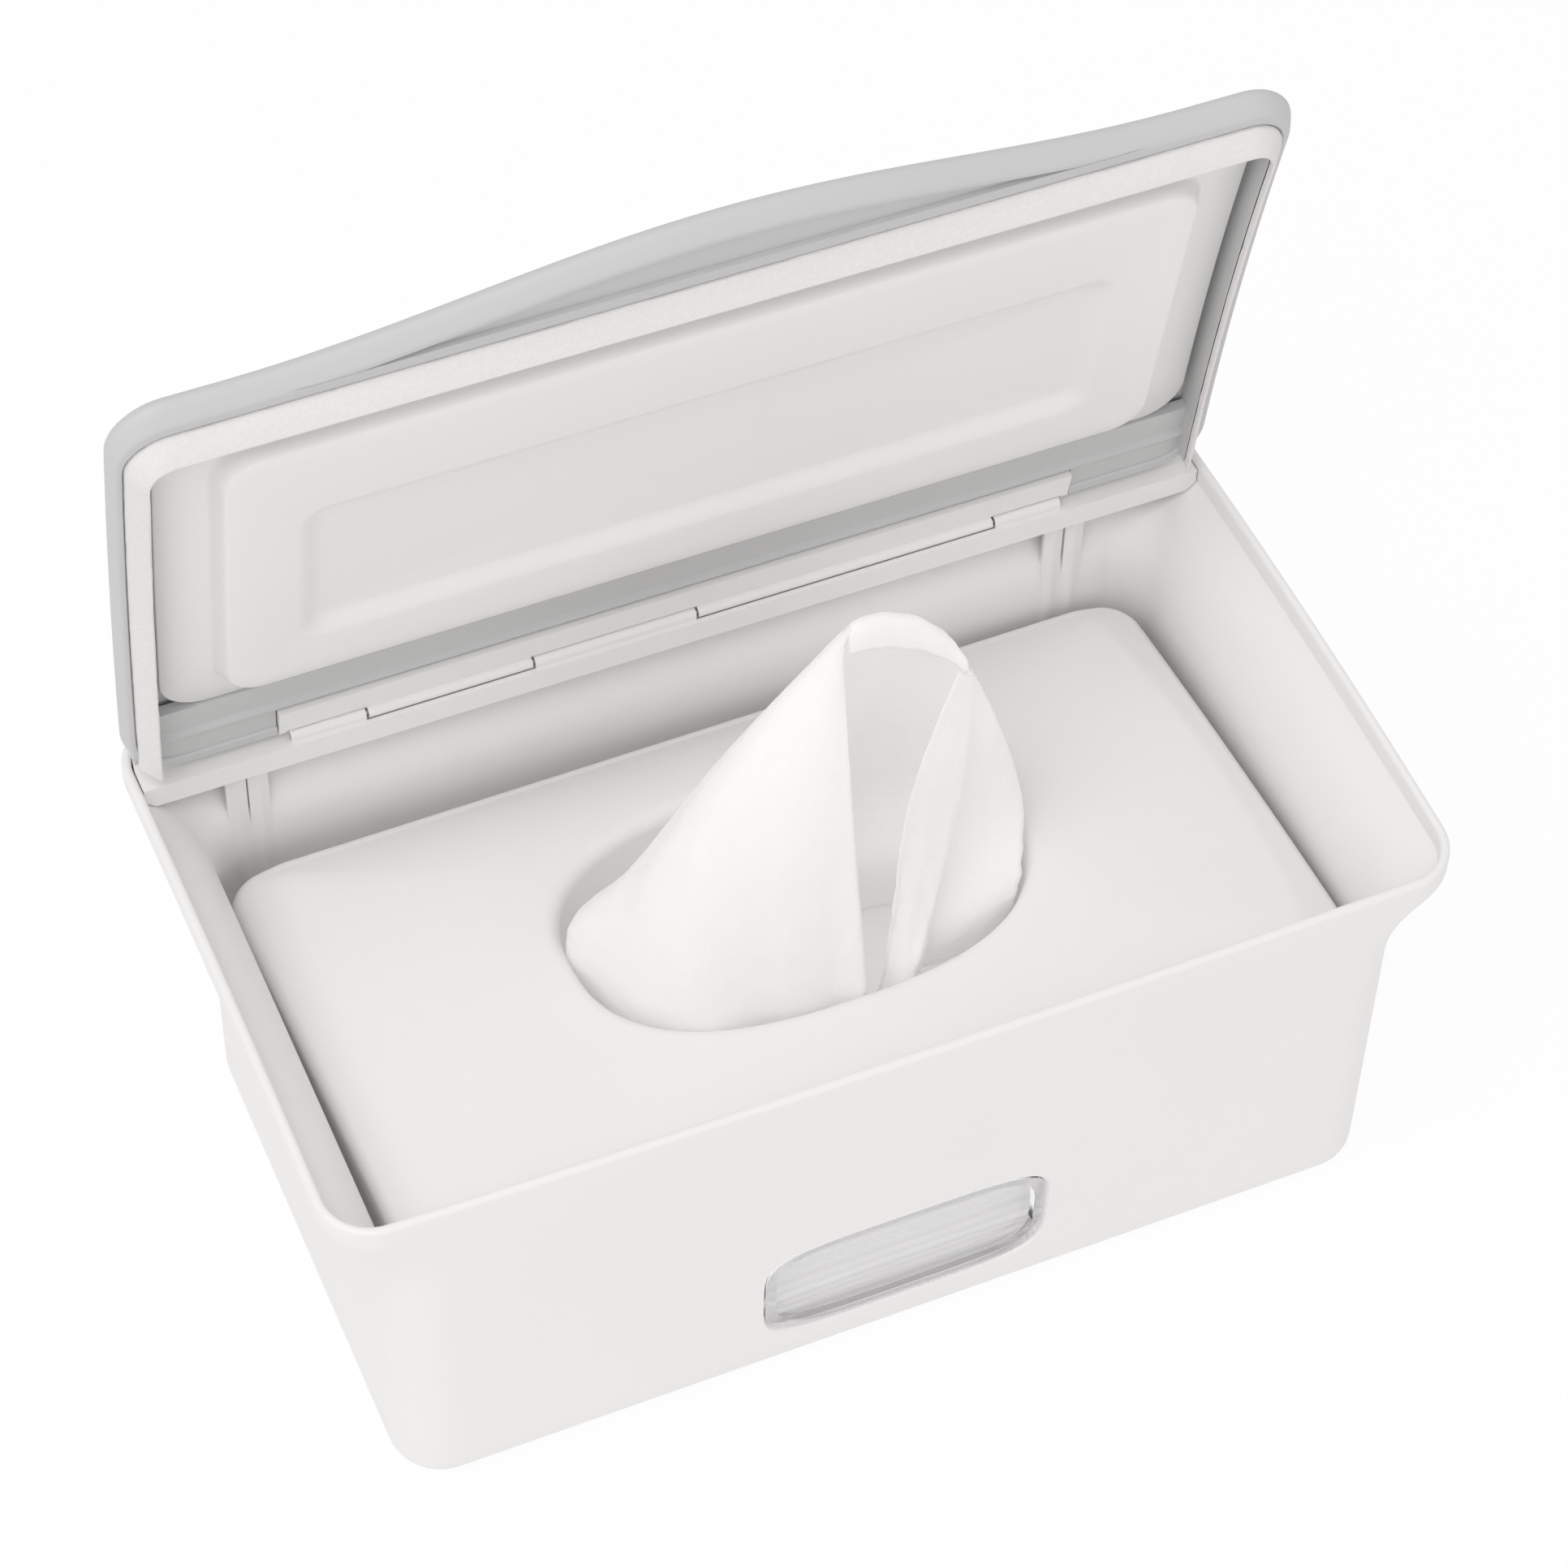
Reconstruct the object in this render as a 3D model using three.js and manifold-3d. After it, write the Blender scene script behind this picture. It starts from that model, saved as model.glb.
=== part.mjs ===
// Wipes dispenser: a white tub with a hinged grey lid, a weighted plate over a stack of wipes,
// and one wipe pulled up through the plate. Lengths are in millimetres.
// X runs along the length, Y from the front wall to the back, Z up.
// The origin is the centre of the tub's underside.

import * as THREE from 'three';
import { ParametricGeometry } from 'three/addons/geometries/ParametricGeometry.js';
import { mergeVertices } from 'three/addons/utils/BufferGeometryUtils.js';
import Module from 'manifold-3d';

const wasm = await Module();
wasm.setup();

// Clearance between pieces that seat on each other
const GAP = 0.3;

// Tub body and its flared rim
const BODY_LENGTH = 222;
const BODY_DEPTH = 124.6;
const BODY_CORNER = 11.5;
const BASE_FILLET = 5;
const WALL = 2;
const FLOOR = 2.4;
const RIM_HEIGHT = 96.25;
const RIM_ROUND = 0.7;
const RIM_ARCH = 2;
const FRONT_BOW = 1.3;
const END_FLARE = 11.5;
const BACK_FLARE = 13.7;
const FLARE_START = 70;
const LIP_HEIGHT = 4.65;
const FLARE_EASE_FOOT = 16;
const FLARE_EASE_TOP = 3.6;

// Guide ribs on the inside of the back wall
const RIB_PLACES = [-100.4, -95.6, 87.1, 92.1];
const RIB_WIDTH = 1.5;
const RIB_PROUD = 0.4;
const RIB_FOOT = 30;

// Window in the front wall and its dished pane
const WINDOW_WIDTH = 64;
const WINDOW_HEIGHT = 30;
const WINDOW_FOOT = 10.6;
const WINDOW_CORNER = 9;
const PANE_BORDER = 3.1;
const PANE_DISH = 1.6;
const PANE_THICK = 1.5;
const PANE_FLANGE = 3;
const FLANGE_THICK = 1.2;

// Hinge rail across the back of the rim, and the hinge's barrel
const RAIL_LAP = 3.7;
const RAIL_FRONT = BODY_DEPTH / 2 - RAIL_LAP;
const RAIL_THICK = 5.6;
const RAIL_DROP = 0.85;
const HINGE_INSET = 1.3;
const HINGE_Y = BODY_DEPTH / 2 - HINGE_INSET;
const HINGE_Z = RIM_HEIGHT;
const PIN_RADIUS = 0.6;
const KNUCKLE_RADIUS = 1.3;
const KNUCKLE_ENDS = [-88, -71, -34, 3, 72, 88];

// Lid, measured closed, from the hinge line forward
const LID_OPEN_DEG = 79.9;
const LID_OVERHANG = 3.6;
const LID_DEPTH = HINGE_Y + BODY_DEPTH / 2 + LID_OVERHANG;
const LID_BACK = 1.1;
const LID_CORNER = 11.8;
const LID_EDGE = 3.7;
const LID_CROWN = 8.6;
const LID_SKIN = 2.2;
const SIDE_UNDERCUT = 1;
const FRONT_UNDERCUT = 3;
const SKIRT = 2.4;
const FRONT_SKIRT = 5.9;
const BULGE = 10.5;
const BULGE_HALF = 100;
const SCOOP_DEPTH = 1.3;
const SCOOP_LIP = 1.6;
const SCOOP_HALF = 88;
const SHELF_LEVEL = 1.9;
const RIDGE_LEVEL = 1;
const RIDGE_AT = 9.2;
const RIDGE_WIDTH = 2.3;

// The domed top: share of the rise from edge to crown against share of half the lid's depth
const CROWN_PROFILE = [
  { rise: 0.29, inset: 0.01, swell: 1 },
  { rise: 0.47, inset: 0.04, swell: 1 },
  { rise: 0.67, inset: 0.16, swell: 0.85 },
  { rise: 0.9, inset: 0.44, swell: 0.4 },
];
const CEILING = { rise: 0.33, inset: 0.47 };

// Gasket, inner panel and hinge strip, all carried by the lid
const GASKET_WIDTH = 5.2;
const GASKET_SIDE_SHARE = 0.75;
const GASKET_EDGE_DROP = 0.6;
const GASKET_DROP = 4.3;
const GASKET_THICK = 1.4;
const GASKET_BACK = 3.2;
const GASKET_ROUND = 0.5;
const PANEL_END_GROOVE = 2;
const PANEL_BACK = 20;
const PANEL_LEVEL = 1.2;
const PANEL_SKIN = 1.5;
const PLATFORM_DROP = 3;
const PLATFORM_END_MARGIN = 19.5;
const PLATFORM_FRONT_MARGIN = 16.4;
const PLATFORM_BACK_MARGIN = 6.5;
const PLATFORM_CORNER = 9;
const PLATFORM_ROUND = 1.4;
const PLATFORM_DRAFT = 0.4;
const RECESS_END_MARGIN = 16.5;
const RECESS_FRONT_MARGIN = 23;
const RECESS_BACK_MARGIN = 14.5;
const RECESS_CORNER = 6;
const RECESS_RISE = 2.4;
const RECESS_RAMP = 5;
const STRIP_DEPTH = 8.6;
const STRIP_THICK = 2;
const STRIP_OVERHANG = 1.9;

// Weighted plate: a crowned sheet with a turned-down skirt, and the collar in its oval
const PLATE_END_PLAY = 2.5;
const PLATE_SIDE_PLAY = 4.3;
const PLATE_LENGTH = BODY_LENGTH - 2 * (WALL + PLATE_END_PLAY);
const PLATE_DEPTH = BODY_DEPTH - 2 * (WALL + PLATE_SIDE_PLAY);
const PLATE_CORNER = 8;
const PLATE_SKIN = 2;
const PLATE_CROWN = 6;
const PLATE_LEVEL = 68.4;
const PLATE_TILT_DEG = { x: -3.15, y: 0.97, z: 1.2 };
const SKIRT_DROP = 13;
const SKIRT_ROUND = 3;
const OVAL_LENGTH = 106;
const OVAL_DEPTH = 68;
const OVAL_POWER = 2.5;
const COLLAR_INSET = 4.5;
const COLLAR_SKIN = 2;
const LIP_PROFILE = [{ drop: 1, inset: 1.8 }, { drop: 4, inset: 3.2 }];
const BALLAST_WIDTH = 16;
const BALLAST_END_MARGIN = 28.5;
const BALLAST_SIDE_MARGIN = 14;

// Stack of wipes, with its play in the tub
const STACK_END_PLAY = 9;
const STACK_SIDE_PLAY = 6.3;
const STACK_LENGTH = BODY_LENGTH - 2 * (WALL + STACK_END_PLAY);
const STACK_DEPTH = BODY_DEPTH - 2 * (WALL + STACK_SIDE_PLAY);
const STACK_CORNER = 6;

// The wipe pulled through the oval. rise is a share of its height, x and halfX of half the
// oval's length, y and halfY of half its depth.
const WIPE_HEIGHT = 94;
const WIPE_TIP = 1;
const WIPE_CLEARANCE = 2;
const WIPE_SECTIONS = [
  { rise: 0, x: 0, y: -0.09, halfX: 0.75, halfY: 0.58 },
  { rise: 0.17, x: 0, y: -0.17, halfX: 0.84, halfY: 0.62 },
  { rise: 0.4, x: 0.15, y: -0.06, halfX: 0.74, halfY: 0.44 },
  { rise: 0.67, x: 0.28, y: 0.09, halfX: 0.53, halfY: 0.28 },
  { rise: 1, x: 0.4, y: 0.2, halfX: 0.2, halfY: 0.11 },
];

// Facets
const CORNER_STEPS = 5;
const LONG_STEPS = 16;
const SHORT_STEPS = 6;
const FILLET_STEPS = 3;
const FLARE_STEPS = 6;
const BARREL_STEPS = 20;

const HALF_LENGTH = BODY_LENGTH / 2;
const HALF_DEPTH = BODY_DEPTH / 2;
const FLARE_TOP = RIM_HEIGHT - LIP_HEIGHT;
const RAIL_TOP = RIM_HEIGHT - RAIL_DROP;
const RAIL_FOOT = RAIL_TOP - RAIL_THICK;
const RING_SIZE = 4 * CORNER_STEPS + 2 * LONG_STEPS + 2 * SHORT_STEPS;

const toRadians = THREE.MathUtils.degToRad;
const clamp01 = (value) => THREE.MathUtils.clamp(value, 0, 1);

// A closed body from any closed geometry: shared corners are merged, folded faces dropped
// and the faces turned outward.
function solidFrom(geometry) {
  geometry.deleteAttribute('normal');
  geometry.deleteAttribute('uv');
  const merged = mergeVertices(geometry, 1e-4);
  const place = merged.getAttribute('position');
  const corners = [];
  for (let i = 0; i < merged.index.count; i += 3) {
    const [a, b, c] = [0, 1, 2].map((k) => merged.index.getX(i + k));
    if (a !== b && b !== c && c !== a) corners.push(a, b, c);
  }
  const points = [...Array(place.count).keys()].map((i) => new THREE.Vector3().fromBufferAttribute(place, i));
  let volume = 0;
  for (let i = 0; i < corners.length; i += 3) {
    const [a, b, c] = corners.slice(i, i + 3).map((k) => points[k]);
    volume += a.dot(new THREE.Vector3().crossVectors(b, c));
  }
  if (volume < 0) corners.reverse();
  return new wasm.Manifold(
    new wasm.Mesh({ numProp: 3, vertProperties: place.array, triVerts: new Uint32Array(corners) }),
  );
}

// The finished mesh of one piece.
function piece(name, solid, look) {
  const { vertProperties, triVerts } = solid.getMesh();
  const geometry = new THREE.BufferGeometry();
  geometry.setAttribute('position', new THREE.BufferAttribute(vertProperties, 3));
  geometry.setIndex(new THREE.BufferAttribute(triVerts, 1));
  geometry.computeVertexNormals();
  const mesh = new THREE.Mesh(geometry, new THREE.MeshStandardMaterial(look));
  mesh.name = name;
  return mesh;
}

// One turn around a rounded rectangle, starting on the right of the back side.
function roundedRing({ halfX, front, back, corner }) {
  const radius = Math.max(corner, 0.5);
  const centres = [
    [halfX - radius, back - radius],
    [radius - halfX, back - radius],
    [radius - halfX, front + radius],
    [halfX - radius, front + radius],
  ];
  const onCorner = (q, share) => {
    const angle = (Math.PI / 2) * (q + share);
    const [x, y] = centres[q % 4];
    return new THREE.Vector2(x + radius * Math.cos(angle), y + radius * Math.sin(angle));
  };
  const points = [];
  for (let q = 0; q < 4; q++) {
    for (let k = 0; k < CORNER_STEPS; k++) points.push(onCorner(q, k / CORNER_STEPS));
    const steps = q % 2 ? SHORT_STEPS : LONG_STEPS;
    const [from, to] = [onCorner(q, 1), onCorner(q + 1, 0)];
    for (let k = 0; k < steps; k++) points.push(from.clone().lerp(to, k / steps));
  }
  return points;
}

// A closed body through a list of rings. A ring whose corners all meet closes an end,
// and a list that ends on its first ring makes a ring-shaped body.
function loft(rings) {
  const around = rings[0].length;
  const last = rings.length - 1;
  const surface = (u, v, target) => {
    target.copy(rings[Math.round(v * last)][Math.round(u * around) % around]);
  };
  return solidFrom(new ParametricGeometry(surface, around, last));
}

function pole(x, y, z) {
  return Array(RING_SIZE).fill(new THREE.Vector3(x, y, z));
}

function box(x0, x1, y0, y1, z0, z1) {
  const geometry = new THREE.BoxGeometry(x1 - x0, y1 - y0, z1 - z0);
  geometry.translate((x0 + x1) / 2, (y0 + y1) / 2, (z0 + z1) / 2);
  return solidFrom(geometry);
}

// A round bar along X, centred on the axis of its own frame.
function barAlongX(x0, x1, radius) {
  const geometry = new THREE.CylinderGeometry(radius, radius, x1 - x0, BARREL_STEPS);
  geometry.rotateZ(Math.PI / 2);
  geometry.translate((x0 + x1) / 2, 0, 0);
  return solidFrom(geometry);
}

// A rounded rectangle in the XZ plane, extruded along Y from y0 to y1.
function frontSlab(width, height, corner, centreZ, y0, y1) {
  const shape = new THREE.Shape();
  const [w, h] = [width / 2, height / 2];
  const quarter = Math.PI / 2;
  shape.absarc(w - corner, h - corner, corner, 0, quarter);
  shape.absarc(corner - w, h - corner, corner, quarter, 2 * quarter);
  shape.absarc(corner - w, corner - h, corner, 2 * quarter, 3 * quarter);
  shape.absarc(w - corner, corner - h, corner, 3 * quarter, 4 * quarter);
  const geometry = new THREE.ExtrudeGeometry(shape, { depth: y1 - y0, bevelEnabled: false, curveSegments: 8 });
  geometry.rotateX(Math.PI / 2);
  geometry.translate(0, y1, centreZ);
  return solidFrom(geometry);
}

// The end rims rise in the middle of the depth, and the lid's edge follows them.
function archAt(y) {
  return RIM_ARCH * clamp01(1 - (y / HALF_DEPTH) ** 2);
}

// Outline of the flare: share of its reach against height.
const flareCurve = new THREE.CubicBezierCurve(
  new THREE.Vector2(0, FLARE_START),
  new THREE.Vector2(0, FLARE_START + FLARE_EASE_FOOT),
  new THREE.Vector2(END_FLARE, FLARE_TOP - FLARE_EASE_TOP),
  new THREE.Vector2(END_FLARE, FLARE_TOP),
);

// One ring of the tub's wall. side and front are the insets from the outer face.
function tubRing({ z, share, side, front }) {
  const halfX = HALF_LENGTH + share * END_FLARE - side;
  const corner = BODY_CORNER - side;
  const edge = { halfX, front: front - HALF_DEPTH, back: HALF_DEPTH + share * BACK_FLARE - side, corner };
  return roundedRing(edge).map(({ x, y }) => {
    const bow = y < 0 ? FRONT_BOW * clamp01(1 - (x / halfX) ** 2) * (z / RIM_HEIGHT) * (-y / HALF_DEPTH) : 0;
    const lift = archAt(y) * clamp01((z - FLARE_START) / (RIM_HEIGHT - FLARE_START));
    return new THREE.Vector3(x, y - bow, z + lift);
  });
}

// Rings from the middle of the floor up to the foot of the rim's lip.
function wallRings(inset, base, fillet) {
  const rings = [pole(0, 0, base)];
  for (let k = 0; k <= FILLET_STEPS; k++) {
    const angle = (Math.PI / 2) * (k / FILLET_STEPS);
    const side = inset + fillet * (1 - Math.sin(angle));
    rings.push(tubRing({ z: base + fillet * (1 - Math.cos(angle)), share: 0, side, front: side }));
  }
  for (let k = 0; k <= FLARE_STEPS; k++) {
    const point = flareCurve.getPoint(k / FLARE_STEPS);
    const slope = flareCurve.getTangent(k / FLARE_STEPS);
    const z = point.y + inset * slope.x;
    rings.push(tubRing({ z, share: point.x / END_FLARE, side: inset * slope.y, front: inset }));
  }
  return rings;
}

// The tub's hollow, held clear of the walls by the given clearance.
function tubHollow(clearance) {
  const inset = WALL + clearance;
  const rings = wallRings(inset, FLOOR + clearance, BASE_FILLET - inset);
  rings.push(tubRing({ z: RIM_HEIGHT + LIP_HEIGHT, share: 1, side: inset, front: inset }));
  rings.push(pole(0, 0, RIM_HEIGHT + LIP_HEIGHT));
  return loft(rings);
}

function tubShell() {
  const lipRing = (z, inset) => tubRing({ z, share: 1, side: inset, front: inset });
  const rings = [
    ...wallRings(0, 0, BASE_FILLET),
    lipRing(RIM_HEIGHT - RIM_ROUND, 0),
    lipRing(RIM_HEIGHT, RIM_ROUND),
    lipRing(RIM_HEIGHT, WALL - RIM_ROUND),
    lipRing(RIM_HEIGHT - RIM_ROUND, WALL),
    ...wallRings(WALL, FLOOR, BASE_FILLET - WALL).reverse(),
  ];
  return loft(rings);
}

const windowCentre = WINDOW_FOOT + WINDOW_HEIGHT / 2;
const frontFace = -HALF_DEPTH;

function tub() {
  let solid = tubShell();
  for (const x of RIB_PLACES) {
    const face = HALF_DEPTH - WALL;
    const half = RIB_WIDTH / 2;
    solid = solid.add(box(x - half, x + half, face - RIB_PROUD, face + WALL / 2, RIB_FOOT, RAIL_FOOT - GAP));
  }
  const reach = FRONT_BOW + WALL;
  return solid.subtract(
    frontSlab(WINDOW_WIDTH, WINDOW_HEIGHT, WINDOW_CORNER, windowCentre, frontFace - reach, frontFace + reach),
  );
}

// The pane fills the window, is dished in front and has a flange behind the wall.
function windowPane() {
  const [width, height] = [WINDOW_WIDTH - 2 * GAP, WINDOW_HEIGHT - 2 * GAP];
  const rear = frontFace + PANE_DISH + PANE_THICK;
  const flangeFront = frontFace + WALL + GAP;
  const slab = (grow, corner, y0, y1) => frontSlab(width + grow, height + grow, corner, windowCentre, y0, y1);
  return slab(0, WINDOW_CORNER - GAP, frontFace, rear)
    .add(slab(2 * PANE_FLANGE, WINDOW_CORNER + PANE_FLANGE, flangeFront, flangeFront + FLANGE_THICK))
    .subtract(slab(-2 * PANE_BORDER, WINDOW_CORNER - PANE_BORDER, frontFace - PANE_DISH, frontFace + PANE_DISH));
}

const knuckleSpans = KNUCKLE_ENDS.slice(1).map((end, k) => ({ from: KNUCKLE_ENDS[k], to: end, onLid: k % 2 === 1 }));
const bore = PIN_RADIUS + GAP;

// The rail closes the back of the rim, carries the lid and is seated on the flare.
function hingeRail() {
  const back = HALF_DEPTH + BACK_FLARE;
  const reach = HALF_LENGTH + END_FLARE;
  let solid = box(-reach, reach, RAIL_FRONT, back, RAIL_FOOT, RAIL_TOP).intersect(tubHollow(GAP));
  for (const { from, to, onLid } of knuckleSpans) {
    const place = [0, HINGE_Y, HINGE_Z];
    if (onLid) {
      solid = solid.subtract(barAlongX(from - GAP, to + GAP, KNUCKLE_RADIUS + GAP).translate(place));
    } else {
      const [y0, y1] = [HINGE_Y - KNUCKLE_RADIUS, HINGE_Y + KNUCKLE_RADIUS];
      const foot = box(from + GAP, to - GAP, Math.max(y0, RAIL_FRONT), y1, RAIL_TOP - KNUCKLE_RADIUS / 2, HINGE_Z);
      solid = solid.add(barAlongX(from + GAP, to - GAP, KNUCKLE_RADIUS).translate(place)).add(foot);
    }
  }
  const ends = [KNUCKLE_ENDS[0] - GAP, KNUCKLE_ENDS.at(-1) + GAP];
  return solid.subtract(barAlongX(...ends, bore).translate([0, HINGE_Y, HINGE_Z]));
}

function hingePin() {
  return barAlongX(KNUCKLE_ENDS[0] + GAP, KNUCKLE_ENDS.at(-1) - GAP, PIN_RADIUS);
}

// How far the lid's front edge swells beyond a straight one.
function bulgeAt(x) {
  return Math.abs(x) < BULGE_HALF ? (BULGE * (1 + Math.cos((Math.PI * x) / BULGE_HALF))) / 2 : 0;
}

const lidHalf = HALF_LENGTH + END_FLARE;

// One ring of the lid, in the closed lid's frame: the hinge at the origin, the front towards -Y.
function lidRing({ z, side, front, back = side, swell = 1, arch = 1 }) {
  const edge = { halfX: lidHalf - side, front: front - LID_DEPTH, back: -LID_BACK - back, corner: LID_CORNER - side };
  const middle = (edge.front + edge.back) / 2;
  return roundedRing(edge).map(({ x, y }) => {
    const share = clamp01((y - middle) / (edge.front - middle));
    const lift = arch * archAt(HINGE_Y + y);
    return new THREE.Vector3(x, y - swell * bulgeAt(x) * share ** 4, z + lift);
  });
}

// The finger scoop under the swollen front edge.
function scoop() {
  const shape = new THREE.Shape();
  const inner = -(LID_DEPTH - FRONT_UNDERCUT + GAP);
  const edgeAt = (x) => inner - Math.max(bulgeAt(x) - SCOOP_LIP, SCOOP_LIP / 8);
  shape.moveTo(-SCOOP_HALF, inner);
  for (let k = 1; k < 2 * LONG_STEPS; k++) {
    const x = SCOOP_HALF * (k / LONG_STEPS - 1);
    shape.lineTo(x, edgeAt(x));
  }
  shape.lineTo(SCOOP_HALF, inner);
  const geometry = new THREE.ExtrudeGeometry(shape, { depth: 2 * SCOOP_DEPTH, bevelEnabled: false });
  geometry.translate(0, 0, GAP - SCOOP_DEPTH);
  return solidFrom(geometry);
}

// A U-shaped body around the sides and the front of the lid, open at the hinge. Each step of
// its section has an inset from the skirt's inner face and a height.
function lidChannel(section, end = GASKET_BACK) {
  const rings = section.map(([inset, z]) => lidRing({
    z,
    side: SKIRT + inset * GASKET_SIDE_SHARE,
    front: FRONT_SKIRT + inset,
    back: inset - HINGE_Y,
    swell: 0,
  }));
  return loft([...rings, rings[0]]).subtract(
    box(-lidHalf, lidHalf, -LID_BACK - end, 2 * HINGE_Y, -LID_DEPTH, LID_DEPTH),
  );
}

// Rib of the lid that carries the gasket on its slanted edge.
function gasketRib() {
  const top = LID_EDGE + LID_SKIN / 4;
  return lidChannel([
    [-SKIRT / 3, top],
    [-SKIRT / 3, GASKET_THICK + GAP - GASKET_EDGE_DROP],
    [GAP, GASKET_THICK + GAP - GASKET_EDGE_DROP],
    [GASKET_WIDTH, GASKET_THICK + GAP - GASKET_DROP],
    [GASKET_WIDTH, top],
  ]);
}

// Space on the rib that is left free for the gasket.
function gasketSeat() {
  return lidChannel([
    [0, GASKET_THICK + GAP - GASKET_EDGE_DROP],
    [0, -GASKET_DROP],
    [GASKET_WIDTH, -2 * GASKET_DROP],
    [GASKET_WIDTH, GASKET_THICK + GAP - GASKET_DROP],
    [GAP, GASKET_THICK + GAP - GASKET_EDGE_DROP],
  ], GASKET_BACK - GAP);
}

function lidShell() {
  const ceiling = LID_EDGE;
  const middle = -LID_DEPTH / 2;
  const rise = LID_CROWN - LID_EDGE;
  const inner = { side: SKIRT, front: FRONT_SKIRT, swell: 0 };
  const deep = -middle * CEILING.inset;
  const rings = [
    pole(0, middle, LID_CROWN - LID_SKIN + RIM_ARCH),
    lidRing({ ...inner, z: ceiling + rise * CEILING.rise, side: SKIRT + deep, front: FRONT_SKIRT + deep }),
    lidRing({ ...inner, z: ceiling }),
    lidRing({ ...inner, z: GAP }),
    lidRing({ z: GAP, side: SIDE_UNDERCUT, front: FRONT_UNDERCUT, back: 0 }),
    lidRing({ z: LID_EDGE, side: 0, front: 0 }),
    ...CROWN_PROFILE.map((step) => {
      const inset = -middle * step.inset;
      return lidRing({ z: LID_EDGE + rise * step.rise, side: inset, front: inset, swell: step.swell });
    }),
    pole(0, middle, LID_CROWN + RIM_ARCH),
  ];
  const shelfHalf = lidHalf - SKIRT - GASKET_WIDTH / 2;
  const shelfTop = ceiling + LID_SKIN / 4;
  const shelf = box(-shelfHalf, shelfHalf, GAP - PANEL_BACK, -LID_BACK - SKIRT / 2, SHELF_LEVEL, shelfTop)
    .add(box(-shelfHalf, shelfHalf, -RIDGE_AT - RIDGE_WIDTH, -RIDGE_AT, RIDGE_LEVEL, shelfTop));
  const gapReach = STRIP_OVERHANG + GAP;
  const hingeGap = box(
    KNUCKLE_ENDS[0] - gapReach, KNUCKLE_ENDS.at(-1) + gapReach, -STRIP_DEPTH - GAP, LID_BACK,
    -STRIP_THICK, STRIP_THICK + 2 * GAP,
  );
  return loft(rings).add(gasketRib()).add(shelf).subtract(gasketSeat()).subtract(scoop()).subtract(hingeGap);
}

// Soft seal on the rib, highest at its inner edge.
function lidGasket() {
  return lidChannel([
    [GAP, GASKET_THICK - GASKET_EDGE_DROP],
    [GAP, -GASKET_EDGE_DROP],
    [GASKET_WIDTH - GASKET_ROUND, -GASKET_DROP],
    [GASKET_WIDTH, GASKET_ROUND - GASKET_DROP],
    [GASKET_WIDTH, GASKET_THICK - GASKET_DROP],
  ]);
}

// Panel inside the lid: a margin, a raised platform and a shallow recess in it.
function lidInnerPanel() {
  const border = SKIRT + GASKET_WIDTH * GASKET_SIDE_SHARE + PANEL_END_GROOVE;
  const frontBorder = FRONT_SKIRT + GASKET_WIDTH + 2 * GAP;
  const outline = (inset, z) => {
    const edge = {
      halfX: lidHalf - border - inset,
      front: frontBorder + inset - LID_DEPTH,
      back: -PANEL_BACK - inset,
      corner: LID_CORNER - SKIRT,
    };
    return roundedRing(edge).map(({ x, y }) => new THREE.Vector3(x, y, z + archAt(HINGE_Y + y)));
  };
  const field = ({ halfX, front, back, corner }, inset, z) => {
    const edge = { halfX: halfX - inset, front: inset - front, back: -back - inset, corner: corner - inset };
    return roundedRing(edge).map(({ x, y }) => new THREE.Vector3(x, y, z));
  };
  const platform = {
    halfX: lidHalf - PLATFORM_END_MARGIN,
    front: LID_DEPTH - PLATFORM_FRONT_MARGIN,
    back: PANEL_BACK + PLATFORM_BACK_MARGIN,
    corner: PLATFORM_CORNER,
  };
  const recess = {
    halfX: platform.halfX - RECESS_END_MARGIN,
    front: platform.front - RECESS_FRONT_MARGIN,
    back: platform.back + RECESS_BACK_MARGIN,
    corner: RECESS_CORNER,
  };
  const centre = -(recess.front + recess.back) / 2;
  const low = -PLATFORM_DROP;
  const floor = low + RECESS_RISE;
  const top = LID_EDGE - GAP;
  const rings = [
    pole(0, centre, floor),
    field(recess, RECESS_RAMP, floor),
    field(recess, 0, low),
    field(platform, PLATFORM_ROUND, low),
    field(platform, 0, low + PLATFORM_ROUND),
    field(platform, -PLATFORM_DRAFT, PANEL_LEVEL),
    outline(0, PANEL_LEVEL),
    outline(0, top),
    outline(PANEL_SKIN, top),
    outline(PANEL_SKIN, PANEL_LEVEL + PANEL_SKIN),
    field(platform, PANEL_SKIN, PANEL_LEVEL + PANEL_SKIN),
    field(platform, PANEL_SKIN, low + PANEL_SKIN),
    field(recess, -PANEL_SKIN, low + PANEL_SKIN),
    field(recess, RECESS_RAMP - PANEL_SKIN, floor + PANEL_SKIN),
    pole(0, centre, floor + PANEL_SKIN),
  ];
  return loft(rings);
}

// White strip under the lid's back edge, with the lid's share of the hinge barrel.
function hingeStrip() {
  const ends = [KNUCKLE_ENDS[0] - STRIP_OVERHANG, KNUCKLE_ENDS.at(-1) + STRIP_OVERHANG];
  const clear = KNUCKLE_RADIUS + GAP;
  let solid = box(...ends, -STRIP_DEPTH, -LID_BACK, GAP, STRIP_THICK + GAP);
  for (const { from, to, onLid } of knuckleSpans) {
    if (onLid) {
      const web = box(from + GAP, to - GAP, -2 * KNUCKLE_RADIUS, 0, GAP, STRIP_THICK);
      solid = solid.add(barAlongX(from + GAP, to - GAP, KNUCKLE_RADIUS)).add(web);
    } else {
      solid = solid.subtract(barAlongX(from - GAP, to + GAP, clear));
    }
  }
  return solid.subtract(barAlongX(...ends, bore));
}

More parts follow.
